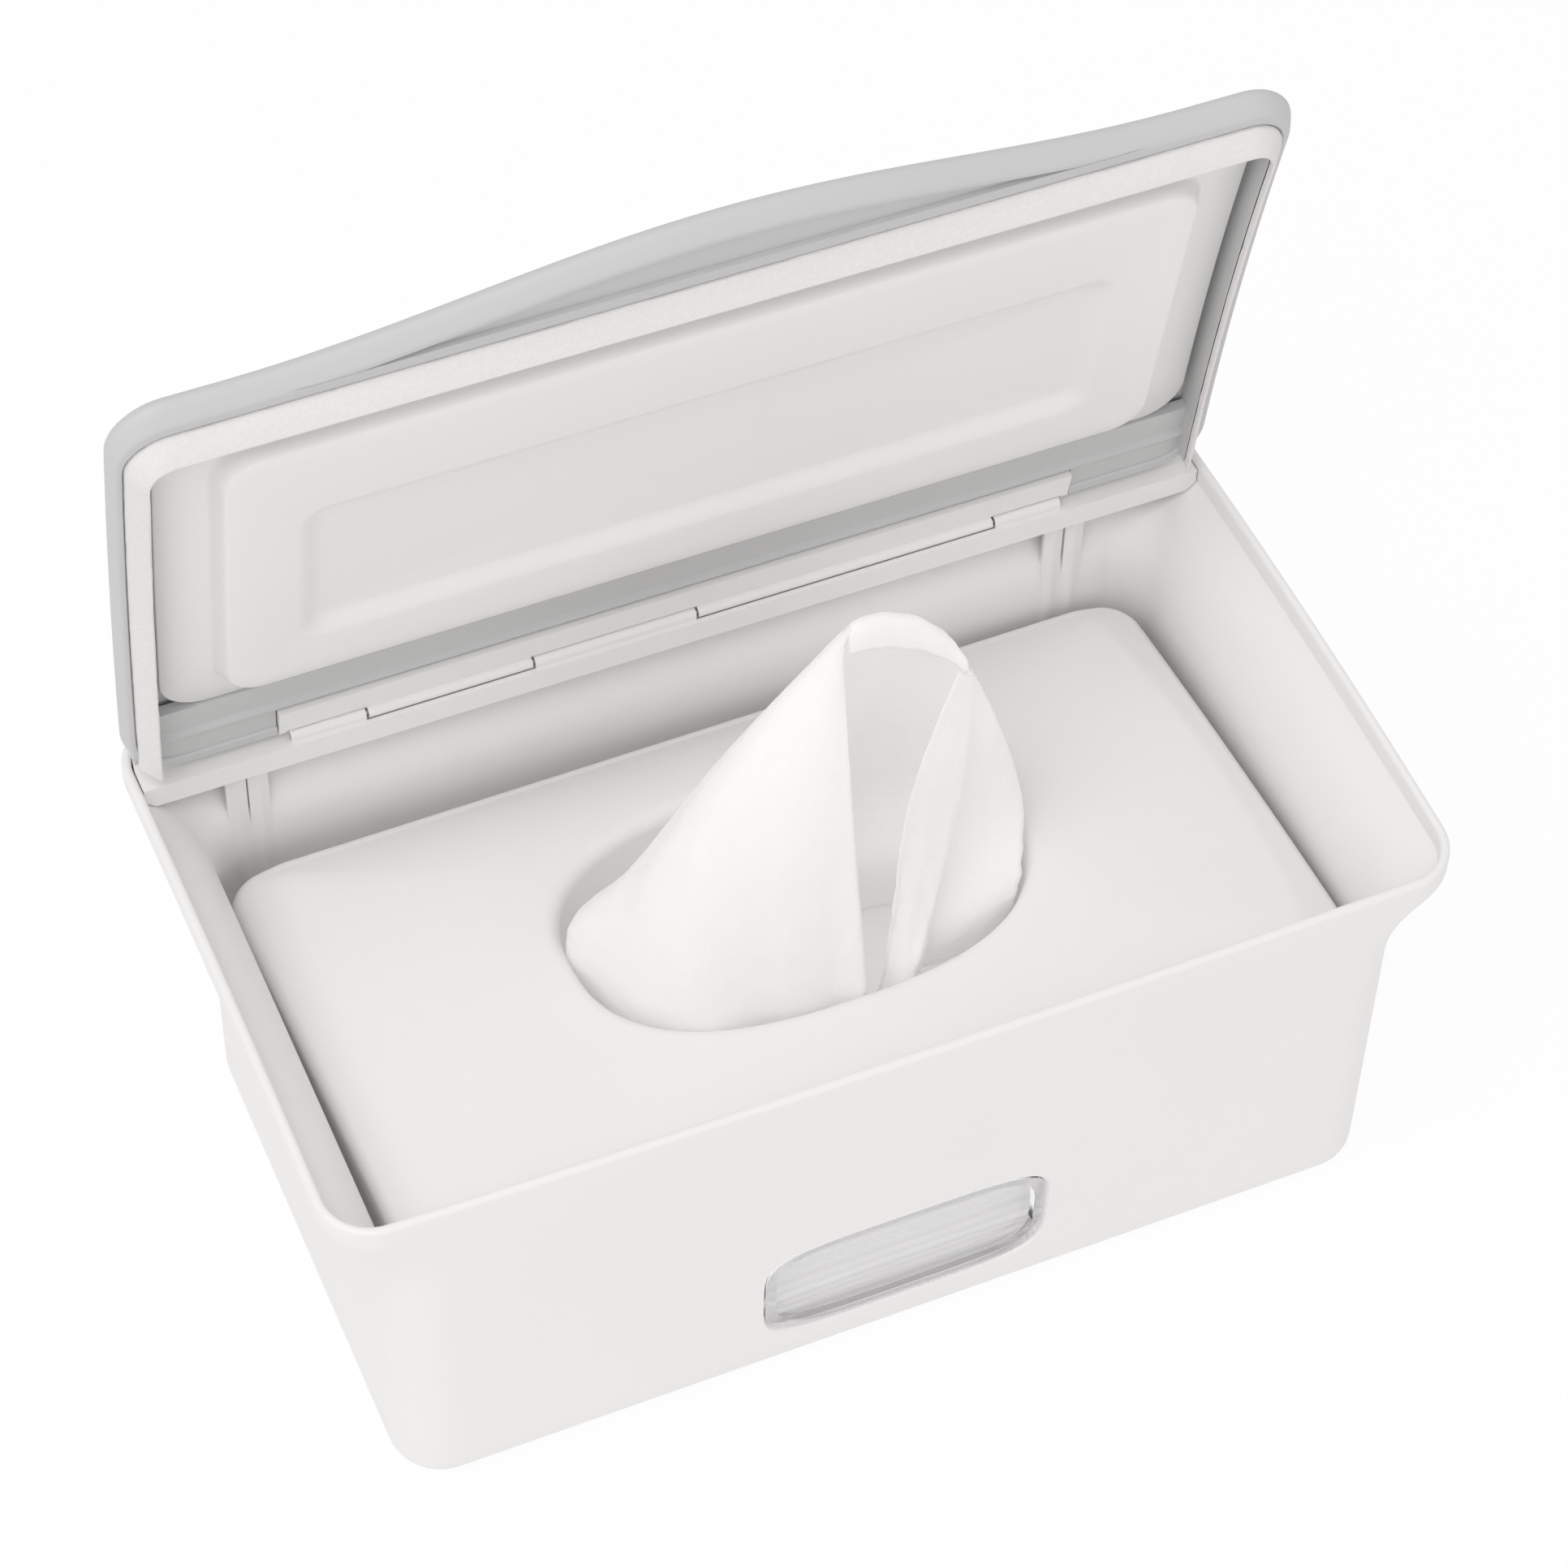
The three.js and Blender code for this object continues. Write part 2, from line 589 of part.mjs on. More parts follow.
// One ring of the plate, between its rectangular edge at share 0 and the oval at share 1.
function plateRing(share, z, edgeInset = 0, ovalInset = 0) {
  const edge = {
    halfX: PLATE_LENGTH / 2 - edgeInset,
    front: edgeInset - PLATE_DEPTH / 2,
    back: PLATE_DEPTH / 2 - edgeInset,
    corner: PLATE_CORNER - edgeInset,
  };
  const [a, b] = [OVAL_LENGTH / 2 - ovalInset, OVAL_DEPTH / 2 - ovalInset];
  return roundedRing(edge).map(({ x, y }) => {
    const reach = (Math.abs(x / a) ** OVAL_POWER + Math.abs(y / b) ** OVAL_POWER) ** (-1 / OVAL_POWER);
    const oval = new THREE.Vector2(x * reach, y * reach);
    const point = new THREE.Vector2(x, y).lerp(oval, share);
    return new THREE.Vector3(point.x, point.y, z);
  });
}

function dispensingPlate() {
  const foot = -SKIRT_DROP;
  const crownAt = (share) => PLATE_CROWN * (1 - (1 - share) ** 2);
  const shares = [0.25, 0.5, 0.75, 1];
  const rings = [
    plateRing(0, foot),
    plateRing(0, -SKIRT_ROUND),
    plateRing(0, -SKIRT_ROUND * 0.3, SKIRT_ROUND * 0.3),
    plateRing(0, 0, SKIRT_ROUND),
    ...shares.map((share) => plateRing(share, crownAt(share), SKIRT_ROUND)),
    ...shares.reverse().map((share) => plateRing(share, crownAt(share) - PLATE_SKIN, SKIRT_ROUND)),
    plateRing(0, -PLATE_SKIN, SKIRT_ROUND),
    plateRing(0, -SKIRT_ROUND, PLATE_SKIN),
    plateRing(0, foot, PLATE_SKIN),
    plateRing(0, foot),
  ];
  return loft(rings);
}

// The oval's collar: a turned-in lip and a wall down to the stack.
function plateCollar() {
  const foot = -SKIRT_DROP;
  const underLip = PLATE_CROWN - PLATE_SKIN - LIP_PROFILE[0].drop;
  const rings = [
    plateRing(1, PLATE_CROWN, 0, GAP),
    ...LIP_PROFILE.map(({ drop, inset }) => plateRing(1, PLATE_CROWN - drop, 0, inset)),
    plateRing(1, foot, 0, COLLAR_INSET),
    plateRing(1, foot, 0, COLLAR_INSET - COLLAR_SKIN),
    plateRing(1, underLip, 0, GAP),
    plateRing(1, PLATE_CROWN, 0, GAP),
  ];
  return loft(rings);
}

// Steel bar under one end of the plate, on top of the stack.
function ballastBar(side) {
  const half = BALLAST_WIDTH / 2;
  const x = side * (PLATE_LENGTH / 2 - BALLAST_END_MARGIN);
  const y = PLATE_DEPTH / 2 - BALLAST_SIDE_MARGIN;
  return box(x - half, x + half, -y, y, -SKIRT_DROP, -PLATE_SKIN - GAP);
}

// The stack stands on the floor, and its top lies against the tilted plate.
function wipesStack(plateGroup) {
  const edge = { halfX: STACK_LENGTH / 2, front: -STACK_DEPTH / 2, back: STACK_DEPTH / 2, corner: STACK_CORNER };
  const rings = [pole(0, 0, FLOOR + GAP)];
  for (const share of [0, 1]) {
    rings.push(roundedRing(edge).map(({ x, y }) => {
      const top = plateGroup.localToWorld(new THREE.Vector3(x, y, -SKIRT_DROP - GAP)).z;
      return new THREE.Vector3(x, y, THREE.MathUtils.lerp(FLOOR + GAP, top, share));
    }));
  }
  rings.push(pole(0, 0, plateGroup.localToWorld(new THREE.Vector3(0, 0, -SKIRT_DROP - GAP)).z));
  return loft(rings);
}

// The pulled wipe stands on the stack and narrows towards its folded top.
function pulledWipe() {
  const foot = PLATE_LEVEL - SKIRT_DROP + WIPE_CLEARANCE;
  const at = ({ rise, x, y, halfX, halfY }, angle, size) => new THREE.Vector3(
    (OVAL_LENGTH / 2) * (x + size * halfX * Math.cos(angle)),
    (OVAL_DEPTH / 2) * (y + size * halfY * Math.sin(angle)),
    foot + rise * WIPE_HEIGHT,
  );
  const turns = [...Array(RING_SIZE).keys()].map((k) => (2 * Math.PI * k) / RING_SIZE);
  const rings = WIPE_SECTIONS.map((section) => turns.map((angle) => at(section, angle, 1)));
  const [low, high] = [at(WIPE_SECTIONS[0], 0, 0), at(WIPE_SECTIONS.at(-1), 0, 0)];
  rings.unshift(pole(low.x, low.y, low.z));
  rings.push(pole(high.x, high.y, high.z + WIPE_TIP));
  return loft(rings);
}

const WHITE_PLASTIC = { color: 0xf4f2f0, roughness: 0.45, metalness: 0 };
const GREY_PLASTIC = { color: 0xbdbfc0, roughness: 0.5, metalness: 0 };
const CLEAR_PLASTIC = { color: 0xe6e6ec, roughness: 0.1, metalness: 0, transparent: true, opacity: 0.5 };
const SOFT_SEAL = { color: 0xece9ea, roughness: 0.8, metalness: 0 };
const STEEL = { color: 0xb0b2b4, roughness: 0.3, metalness: 1 };
const WIPE_CLOTH = { color: 0xf8f8fa, roughness: 0.9, metalness: 0 };

const plateGroup = new THREE.Group();
plateGroup.position.set(0, 0, PLATE_LEVEL);
plateGroup.rotation.set(
  toRadians(PLATE_TILT_DEG.x), toRadians(PLATE_TILT_DEG.y), toRadians(PLATE_TILT_DEG.z), 'ZXY',
);
plateGroup.add(
  piece('dispensing_plate', dispensingPlate(), WHITE_PLASTIC),
  piece('plate_collar', plateCollar(), WHITE_PLASTIC),
  piece('ballast_bar_left', ballastBar(-1), STEEL),
  piece('ballast_bar_right', ballastBar(1), STEEL),
);
plateGroup.updateMatrixWorld();

const lidGroup = new THREE.Group();
lidGroup.position.set(0, HINGE_Y, HINGE_Z);
lidGroup.rotation.x = -toRadians(LID_OPEN_DEG);
lidGroup.add(
  piece('lid_shell', lidShell(), GREY_PLASTIC),
  piece('lid_inner_panel', lidInnerPanel(), WHITE_PLASTIC),
  piece('lid_gasket', lidGasket(), SOFT_SEAL),
  piece('hinge_strip', hingeStrip(), WHITE_PLASTIC),
);

const hingePinMesh = piece('hinge_pin', hingePin(), STEEL);
hingePinMesh.position.set(0, HINGE_Y, HINGE_Z);

const dispenser = new THREE.Group();
dispenser.add(
  piece('tub', tub(), WHITE_PLASTIC),
  piece('window_pane', windowPane(), CLEAR_PLASTIC),
  piece('hinge_rail', hingeRail(), WHITE_PLASTIC),
  hingePinMesh,
  lidGroup,
  plateGroup,
  piece('wipes_stack', wipesStack(plateGroup), WIPE_CLOTH),
  piece('pulled_wipe', pulledWipe(), WIPE_CLOTH),
);

export default dispenser;
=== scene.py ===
import math
from collections import namedtuple

import bmesh
import bpy
from mathutils import Matrix, Vector, noise


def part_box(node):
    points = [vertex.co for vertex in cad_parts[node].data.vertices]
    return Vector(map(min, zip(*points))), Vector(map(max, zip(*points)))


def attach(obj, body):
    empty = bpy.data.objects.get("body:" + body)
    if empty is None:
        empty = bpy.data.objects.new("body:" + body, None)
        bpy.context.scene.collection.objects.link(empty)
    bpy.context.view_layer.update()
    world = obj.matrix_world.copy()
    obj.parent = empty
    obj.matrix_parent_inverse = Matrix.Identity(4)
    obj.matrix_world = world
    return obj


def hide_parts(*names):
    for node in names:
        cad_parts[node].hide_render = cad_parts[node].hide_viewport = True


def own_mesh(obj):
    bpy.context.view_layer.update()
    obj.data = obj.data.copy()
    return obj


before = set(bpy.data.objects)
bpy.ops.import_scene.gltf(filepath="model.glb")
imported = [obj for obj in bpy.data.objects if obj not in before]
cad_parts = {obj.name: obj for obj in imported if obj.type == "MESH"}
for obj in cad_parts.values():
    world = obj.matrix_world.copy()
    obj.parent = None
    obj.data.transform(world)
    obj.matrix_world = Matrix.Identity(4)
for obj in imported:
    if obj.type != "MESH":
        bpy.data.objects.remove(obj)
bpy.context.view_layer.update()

bl_info = {
    "name": "Wipes Dispenser",
    "version": (1, 0, 0),
    "blender": (4, 5, 0),
    "location": "View3D > Sidebar > Dispenser",
    "description": "Builds a wipes dispenser with a hinged lid, a weighted plate and a pulled wipe",
    "category": "Add Mesh",
}

MM = 0.001

# Facets of the finished shells: steps on a corner, a long side and a short side
CORNER_STEPS = 12
LONG_STEPS = 72
SHORT_STEPS = 30
RING_SIZE = 4 * CORNER_STEPS + 2 * LONG_STEPS + 2 * SHORT_STEPS
SHARP_ANGLE = math.radians(38)

SENSOR_WIDTH = 36


def length_setting(name, description, millimetres):
    return bpy.props.FloatProperty(name=name, description=description, default=millimetres * MM, unit="LENGTH",
                                   precision=5)


def angle_setting(name, description, degrees):
    return bpy.props.FloatProperty(name=name, description=description, default=math.radians(degrees),
                                   unit="ROTATION")


def colour_setting(name, description, code):
    return bpy.props.StringProperty(name=name, description=description, default=code)


class TubSettings(bpy.types.PropertyGroup):
    """Sizes of the tub, its flared rim and the window"""
    half_length: length_setting("Half length", "Half the body's length below the flare", 111)
    half_depth: length_setting("Half depth", "Half the body's depth", 62.3)
    corner: length_setting("Corner", "Radius of the upright corners", 11.5)
    fillet: length_setting("Base fillet", "Radius between the walls and the underside", 5)
    wall: length_setting("Wall", "Thickness of the moulded wall", 2)
    floor: length_setting("Floor", "Thickness of the floor", 2.4)
    rim_height: length_setting("Rim height", "Height of the rim at the corners", 96.25)
    rim_round: length_setting("Rim rounding", "Rounding on the rim's edges", 0.9)
    rim_arch: length_setting("Rim arch", "Rise of the end rims at mid depth", 2)
    front_bow: length_setting("Front bow", "Outward bow of the front rim", 1.3)
    end_flare: length_setting("End flare", "Reach of the flare at each end", 11.5)
    back_flare: length_setting("Back flare", "Reach of the flare at the back", 13.7)
    flare_start: length_setting("Flare start", "Height where the flare begins", 70)
    lip: length_setting("Lip", "Upright height of the rim above the flare", 4.65)
    window_width: length_setting("Window width", "Width of the window in the front wall", 64)
    window_height: length_setting("Window height", "Height of the window", 30)
    window_foot: length_setting("Window foot", "Height of the window's lower edge", 10.6)


class LidSettings(bpy.types.PropertyGroup):
    """Sizes of the lid, measured closed, from the hinge line forward"""
    open_angle: angle_setting("Open angle", "How far the lid stands open at rest", 79.9)
    hinge_y: length_setting("Hinge depth", "Place of the hinge line along Y", 61)
    hinge_z: length_setting("Hinge height", "Height of the hinge line", 96.25)
    depth: length_setting("Depth", "Hinge line to the front edge at the corners", 126.9)
    back: length_setting("Back edge", "Hinge line to the lid's back edge", 1.1)
    corner: length_setting("Corner", "Radius of the lid's corners", 11.8)
    edge: length_setting("Edge height", "Height of the widest line above the rim", 3.7)
    crown: length_setting("Crown", "Height of the domed top", 8.6)
    skirt: length_setting("Skirt", "Thickness of the side skirts", 2.4)
    front_skirt: length_setting("Front skirt", "Thickness of the front skirt", 5.9)
    bulge: length_setting("Bulge", "How far the front edge swells in the middle", 10.5)
    bulge_half: length_setting("Bulge half width", "Half the width of the swell", 100)
    seal_width: length_setting("Seal width", "Width of the soft seal at the front", 5.2)
    seal_side: bpy.props.FloatProperty(name="Seal side share", default=0.75,
                                       description="Width of the seal's sides to its front")
    seal_edge: length_setting("Seal edge", "How far the seal's outer edge stands out", 0.6)
    seal_drop: length_setting("Seal drop", "How far the seal's inner edge stands out", 4.3)
    seal_thick: length_setting("Seal thickness", "Thickness of the soft seal", 1.4)
    seal_back: length_setting("Seal end", "Hinge line to the ends of the seal", 4.3)
    panel_level: length_setting("Panel level", "Depth of the inner panel's margin", 1.2)
    platform_drop: length_setting("Platform drop", "How far the raised field stands out", 3)


class PlateSettings(bpy.types.PropertyGroup):
    """Sizes and pose of the weighted plate"""
    length: length_setting("Length", "Length of the plate", 213)
    depth: length_setting("Depth", "Depth of the plate", 112)
    corner: length_setting("Corner", "Radius of the plate's corners", 8)
    skin: length_setting("Skin", "Thickness of the plate", 2)
    crown: length_setting("Crown", "Rise from the edge to the oval", 6)
    level: length_setting("Level", "Height of the plate's edge at its middle", 68.4)
    pitch: angle_setting("Pitch", "How far the front stands up", 3.15)
    roll: angle_setting("Roll", "How far the right end sinks", 0.97)
    yaw: angle_setting("Yaw", "How far the plate is turned in the tub", 1.2)
    drop: length_setting("Skirt drop", "Depth of the turned-down edges", 13)
    oval_length: length_setting("Oval length", "Length of the oval opening's lip", 106)
    oval_depth: length_setting("Oval depth", "Depth of the oval opening's lip", 68)


class ColourSettings(bpy.types.PropertyGroup):
    """Colours as sRGB hex codes"""
    white: colour_setting("White plastic", "Tub, plate and lid panel", "#F3F2F1")
    grey: colour_setting("Grey plastic", "Outer shell of the lid", "#CDCECE")
    seal: colour_setting("Seal", "Soft seal", "#ECE9E9")
    cloth: colour_setting("Cloth", "Wipes", "#FEFDFD")
    steel: colour_setting("Steel", "Pin and ballast bars", "#B4B6B8")
    clear: colour_setting("Clear plastic", "Window pane", "#FDFDFE")
    floor: colour_setting("Floor", "Studio floor", "#FAFAFA")


class StageSettings(bpy.types.PropertyGroup):
    """Camera and lamps"""
    bearing: angle_setting("Bearing", "Camera bearing from straight in front", -24.549)
    elevation: angle_setting("Elevation", "Camera height angle", 50.625)
    roll: angle_setting("Roll", "Camera roll", 1.871)
    place: bpy.props.FloatVectorProperty(name="Place", description="Camera place", subtype="XYZ", unit="LENGTH",
                                         default=(-0.2593, -0.5611, 0.8621), precision=5)
    lens: bpy.props.FloatProperty(name="Lens", description="Focal length in millimetres", default=110.7)
    key_power: bpy.props.FloatProperty(name="Key", description="Power of the key lamp in watts", default=13.0)
    fill_power: bpy.props.FloatProperty(name="Fill", description="Power of the fill lamp in watts", default=1.6)
    sky: bpy.props.FloatProperty(name="Sky", description="Strength of the even studio light", default=0.67)


# Materials

def linear(code):
    """An sRGB hex code as a linear RGBA colour"""
    values = [int(code[i:i + 2], 16) / 255 for i in (1, 3, 5)]
    return [v / 12.92 if v <= 0.04045 else ((v + 0.055) / 1.055) ** 2.4 for v in values] + [1.0]


def add_node(tree, kind, settings=None, **links):
    """One node with its settings. A link is named for the input, with a value or another node's output"""
    made = tree.nodes.new(kind)
    for key, value in (settings or {}).items():
        setattr(made, key, value)
    for key, value in links.items():
        numbered = key[0] == "i" and key[1:].isdigit()
        socket = made.inputs[int(key[1:]) if numbered else key.replace("_", " ")]
        if isinstance(value, bpy.types.NodeSocket):
            tree.links.new(value, socket)
        else:
            socket.default_value = value
    return made


def new_material(name):
    material = bpy.data.materials.new(name)
    material.use_nodes = True
    material.node_tree.nodes.clear()
    return material, material.node_tree


def moulded_plastic(name, code, roughness, peel, mottle):
    """Injection-moulded plastic: a satin skin with a fine peel, and a faint mottle from the melt's flow"""
    material, tree = new_material(name)
    place = add_node(tree, "ShaderNodeTexCoord").outputs["Object"]
    flow = add_node(tree, "ShaderNodeTexNoise", Vector=place, Scale=1 / (38 * MM), Detail=3.0)
    base = linear(code)
    dim = [c * (1 - mottle) for c in base[:3]] + [1.0]
    colour = add_node(tree, "ShaderNodeMix", {"data_type": "RGBA"}, i0=flow.outputs["Fac"], i6=base, i7=dim)
    grain = add_node(tree, "ShaderNodeTexNoise", Vector=place, Scale=1 / (0.7 * MM), Detail=2.0)
    rough = add_node(tree, "ShaderNodeMapRange", Value=flow.outputs["Fac"], To_Min=roughness - 0.04,
                     To_Max=roughness + 0.06)
    bump = add_node(tree, "ShaderNodeBump", Strength=peel, Distance=0.05 * MM, Height=grain.outputs["Fac"])
    shader = add_node(tree, "ShaderNodeBsdfPrincipled", Base_Color=colour.outputs[2],
                      Roughness=rough.outputs["Result"], Normal=bump.outputs["Normal"], IOR=1.49)
    add_node(tree, "ShaderNodeOutputMaterial", Surface=shader.outputs["BSDF"])
    return material


def clear_plastic(name, code):
    """Clear moulded styrene: glass-like, with the slight haze of a handled pane"""
    material, tree = new_material(name)
    place = add_node(tree, "ShaderNodeTexCoord").outputs["Object"]
    haze = add_node(tree, "ShaderNodeTexNoise", Vector=place, Scale=1 / (9 * MM), Detail=4.0)
    rough = add_node(tree, "ShaderNodeMapRange", Value=haze.outputs["Fac"], To_Min=0.04, To_Max=0.16)
    shader = add_node(tree, "ShaderNodeBsdfPrincipled", Base_Color=linear(code), IOR=1.3,
                      Roughness=rough.outputs["Result"], Transmission_Weight=1.0)
    open_way = add_node(tree, "ShaderNodeBsdfTransparent", Color=linear(code))
    ray = add_node(tree, "ShaderNodeLightPath")
    lit = add_node(tree, "ShaderNodeMath", {"operation": "MAXIMUM"}, i0=ray.outputs["Is Shadow Ray"],
                   i1=ray.outputs["Is Diffuse Ray"])
    mixed = add_node(tree, "ShaderNodeMixShader", i0=lit.outputs["Value"], i1=shader.outputs["BSDF"],
                     i2=open_way.outputs["BSDF"])
    add_node(tree, "ShaderNodeOutputMaterial", Surface=mixed.outputs["Shader"])
    return material


def soft_seal(name, code):
    """Closed-cell foam rubber: matt, with fine pores on its cut faces"""
    material, tree = new_material(name)
    place = add_node(tree, "ShaderNodeTexCoord").outputs["Object"]
    pores = add_node(tree, "ShaderNodeTexVoronoi", Vector=place, Scale=1 / (0.8 * MM))
    base = linear(code)
    dark = [c * 0.94 for c in base[:3]] + [1.0]
    colour = add_node(tree, "ShaderNodeMix", {"data_type": "RGBA"}, i0=pores.outputs["Distance"], i6=dark,
                      i7=base)
    bump = add_node(tree, "ShaderNodeBump", Strength=0.35, Distance=0.12 * MM, Height=pores.outputs["Distance"])
    shader = add_node(tree, "ShaderNodeBsdfPrincipled", Base_Color=colour.outputs[2], Roughness=0.85,
                      Normal=bump.outputs["Normal"])
    add_node(tree, "ShaderNodeOutputMaterial", Surface=shader.outputs["BSDF"])
    return material


def drawn_steel(name, code):
    """Drawn steel: bright, with fine lines along the bar"""
    material, tree = new_material(name)
    place = add_node(tree, "ShaderNodeTexCoord").outputs["Object"]
    across = 1 / (0.4 * MM)
    along = add_node(tree, "ShaderNodeMapping", Vector=place, Scale=(1 / (30 * MM), across, across))
    lines = add_node(tree, "ShaderNodeTexNoise", Vector=along.outputs["Vector"], Scale=1.0, Detail=3.0)
    rough = add_node(tree, "ShaderNodeMapRange", Value=lines.outputs["Fac"], To_Min=0.24, To_Max=0.42)
    bump = add_node(tree, "ShaderNodeBump", Strength=0.2, Distance=0.03 * MM, Height=lines.outputs["Fac"])
    shader = add_node(tree, "ShaderNodeBsdfPrincipled", Base_Color=linear(code), Metallic=1.0,
                      Roughness=rough.outputs["Result"], Normal=bump.outputs["Normal"])
    add_node(tree, "ShaderNodeOutputMaterial", Surface=shader.outputs["BSDF"])
    return material


def gaps_between_fibres(tree, cloth, share):
    """Lets a share of the light straight through the cloth.

    A shadow ray only needs that share, so for it the pattern of the fibres isn't worked out.
    """
    shadow = add_node(tree, "ShaderNodeLightPath").outputs["Is Shadow Ray"]
    dimmed = [share] * 3 + [1.0]
    tint = add_node(tree, "ShaderNodeMix", {"data_type": "RGBA"}, i0=shadow, i6=[1.0] * 4, i7=dimmed)
    amount = add_node(tree, "ShaderNodeMapRange", Value=shadow, To_Min=share, To_Max=1.0)
    gaps = add_node(tree, "ShaderNodeBsdfTransparent", Color=tint.outputs[2])
    return add_node(tree, "ShaderNodeMixShader", i0=amount.outputs["Result"], i1=cloth.outputs["Shader"],
                    i2=gaps.outputs["BSDF"])


def nonwoven(name, code, see_through, painted_glow=0.1):
    """Spunlaced nonwoven, damp: tangled fibres and a pressed pattern of small pits.

    Light shows through one layer. The emission adds a painted glow, a little white light of the cloth's own that
    lifts it above its lighting.
    """
    material, tree = new_material(name)
    place = add_node(tree, "ShaderNodeUVMap", {"uv_map": "cloth"}).outputs["UV"]
    fibres = add_node(tree, "ShaderNodeTexNoise", Vector=place, Scale=1 / (1.1 * MM), Detail=6.0, Roughness=0.65,
                      Distortion=1.2)
    pits = add_node(tree, "ShaderNodeTexVoronoi", {"feature": "SMOOTH_F1"}, Vector=place, Scale=1 / (2.6 * MM))
    height = add_node(tree, "ShaderNodeMath", {"operation": "ADD"}, i0=fibres.outputs["Fac"],
                      i1=pits.outputs["Distance"])
    bump = add_node(tree, "ShaderNodeBump", Strength=0.4, Distance=0.25 * MM, Height=height.outputs["Value"])
    base = linear(code)
    thin = [c * 0.98 for c in base[:3]] + [1.0]
    colour = add_node(tree, "ShaderNodeMix", {"data_type": "RGBA"}, i0=fibres.outputs["Fac"], i6=thin, i7=base)
    # The emission is a painted glow: the cloth gives off a little white light of its own, so it looks brighter
    # than the lamps make it.
    cloth = add_node(tree, "ShaderNodeBsdfPrincipled", Base_Color=colour.outputs[2], Roughness=0.8,
                     Normal=bump.outputs["Normal"], Sheen_Weight=0.4,
                     Emission_Color=base, Emission_Strength=painted_glow)
    glow = add_node(tree, "ShaderNodeBsdfTranslucent", Color=base, Normal=bump.outputs["Normal"])
    mixed = add_node(tree, "ShaderNodeMixShader", i0=0.45, i1=cloth.outputs["BSDF"], i2=glow.outputs["BSDF"])
    if see_through > 0:
        mixed = gaps_between_fibres(tree, mixed, see_through)
    add_node(tree, "ShaderNodeOutputMaterial", Surface=mixed.outputs["Shader"])
    return material


def studio_floor(name, code):
    """Seamless paper: the camera sees it near white, and it keeps the object's shadow"""
    material, tree = new_material(name)
    ray = add_node(tree, "ShaderNodeLightPath")
    seen = add_node(tree, "ShaderNodeMath", {"operation": "MAXIMUM"}, i0=ray.outputs["Is Camera Ray"],
                    i1=ray.outputs["Is Glossy Ray"])
    seen = add_node(tree, "ShaderNodeMath", {"operation": "MAXIMUM"}, i0=seen.outputs["Value"],
                    i1=ray.outputs["Is Transmission Ray"])
    share = add_node(tree, "ShaderNodeMath", {"operation": "MULTIPLY"}, i0=seen.outputs["Value"], i1=0.94)
    paper = add_node(tree, "ShaderNodeBsdfDiffuse", Color=linear(code))
    white = add_node(tree, "ShaderNodeEmission", Color=(1, 1, 1, 1), Strength=1.0)
    mixed = add_node(tree, "ShaderNodeMixShader", i0=share.outputs["Value"], i1=paper.outputs["BSDF"],
                     i2=white.outputs["Emission"])
    add_node(tree, "ShaderNodeOutputMaterial", Surface=mixed.outputs["Shader"])
    return material


MATERIALS = {}


def material_for(slot):
    """The material of a slot of the record, made once"""
    colours = bpy.context.scene.dispenser_colours
    makers = {
        "white_plastic": lambda: moulded_plastic("white moulded polypropylene", colours.white, 0.42, 0.25, 0.02),
        "grey_plastic": lambda: moulded_plastic("grey moulded polypropylene", colours.grey, 0.5, 0.35, 0.03),
        "clear_plastic": lambda: clear_plastic("clear moulded styrene", colours.clear),
        "seal_rubber": lambda: soft_seal("white foam rubber seal", colours.seal),
        "steel": lambda: drawn_steel("drawn steel", colours.steel),
        "wipe_cloth": lambda: nonwoven("damp spunlaced nonwoven", colours.cloth, 0.0),
        "single_layer": lambda: nonwoven("single layer of spunlaced nonwoven", colours.cloth, 0.2),
    }
    if slot not in MATERIALS:
        MATERIALS[slot] = makers[slot]()
    return MATERIALS[slot]


def camera_axes(stage):
    """The camera's directions to its right, upwards and backwards"""
    bearing, height, roll = stage.bearing, stage.elevation, stage.roll
    flat = math.cos(height)
    back = Vector((math.sin(bearing) * flat, -math.cos(bearing) * flat, math.sin(height)))
    level = Vector((math.cos(bearing), math.sin(bearing), 0))
    upright = back.cross(level)
    right = level * math.cos(roll) + upright * math.sin(roll)
    up = upright * math.cos(roll) - level * math.sin(roll)
    return right, up, back


# Meshes

def add_object(name, mesh):
    """Turns an edited mesh into an object in the scene"""
    data = bpy.data.meshes.new(name)
    mesh.to_mesh(data)
    mesh.free()
    made = bpy.data.objects.new(name, data)
    bpy.context.scene.collection.objects.link(made)
    return made


def keep_result(obj, modifier):
    """Makes what the modifier gives the object's plain mesh, and removes the modifier"""
    bpy.context.view_layer.update()
    result = bpy.data.meshes.new_from_object(obj.evaluated_get(bpy.context.evaluated_depsgraph_get()))
    obj.modifiers.remove(modifier)
    obj.data = result


# Shells made of rings

def rounded_ring(half_x, front, back, corner):
    """One turn around a rounded rectangle, from the right of the back side"""
    radius = max(corner, 0.5 * MM)
    centres = [(half_x - radius, back - radius), (radius - half_x, back - radius),
               (radius - half_x, front + radius), (half_x - radius, front + radius)]

    def on_corner(quarter, share):
        angle = math.pi / 2 * (quarter + share)
        x, y = centres[quarter % 4]
        return Vector((x + radius * math.cos(angle), y + radius * math.sin(angle)))

    points = []
    for quarter in range(4):
        points += [on_corner(quarter, k / CORNER_STEPS) for k in range(CORNER_STEPS)]
        steps = SHORT_STEPS if quarter % 2 else LONG_STEPS
        start, end = on_corner(quarter, 1), on_corner(quarter + 1, 0)
        points += [start.lerp(end, k / steps) for k in range(steps)]
    return points


def pole(x, y, z):
    return [Vector((x, y, z))] * RING_SIZE


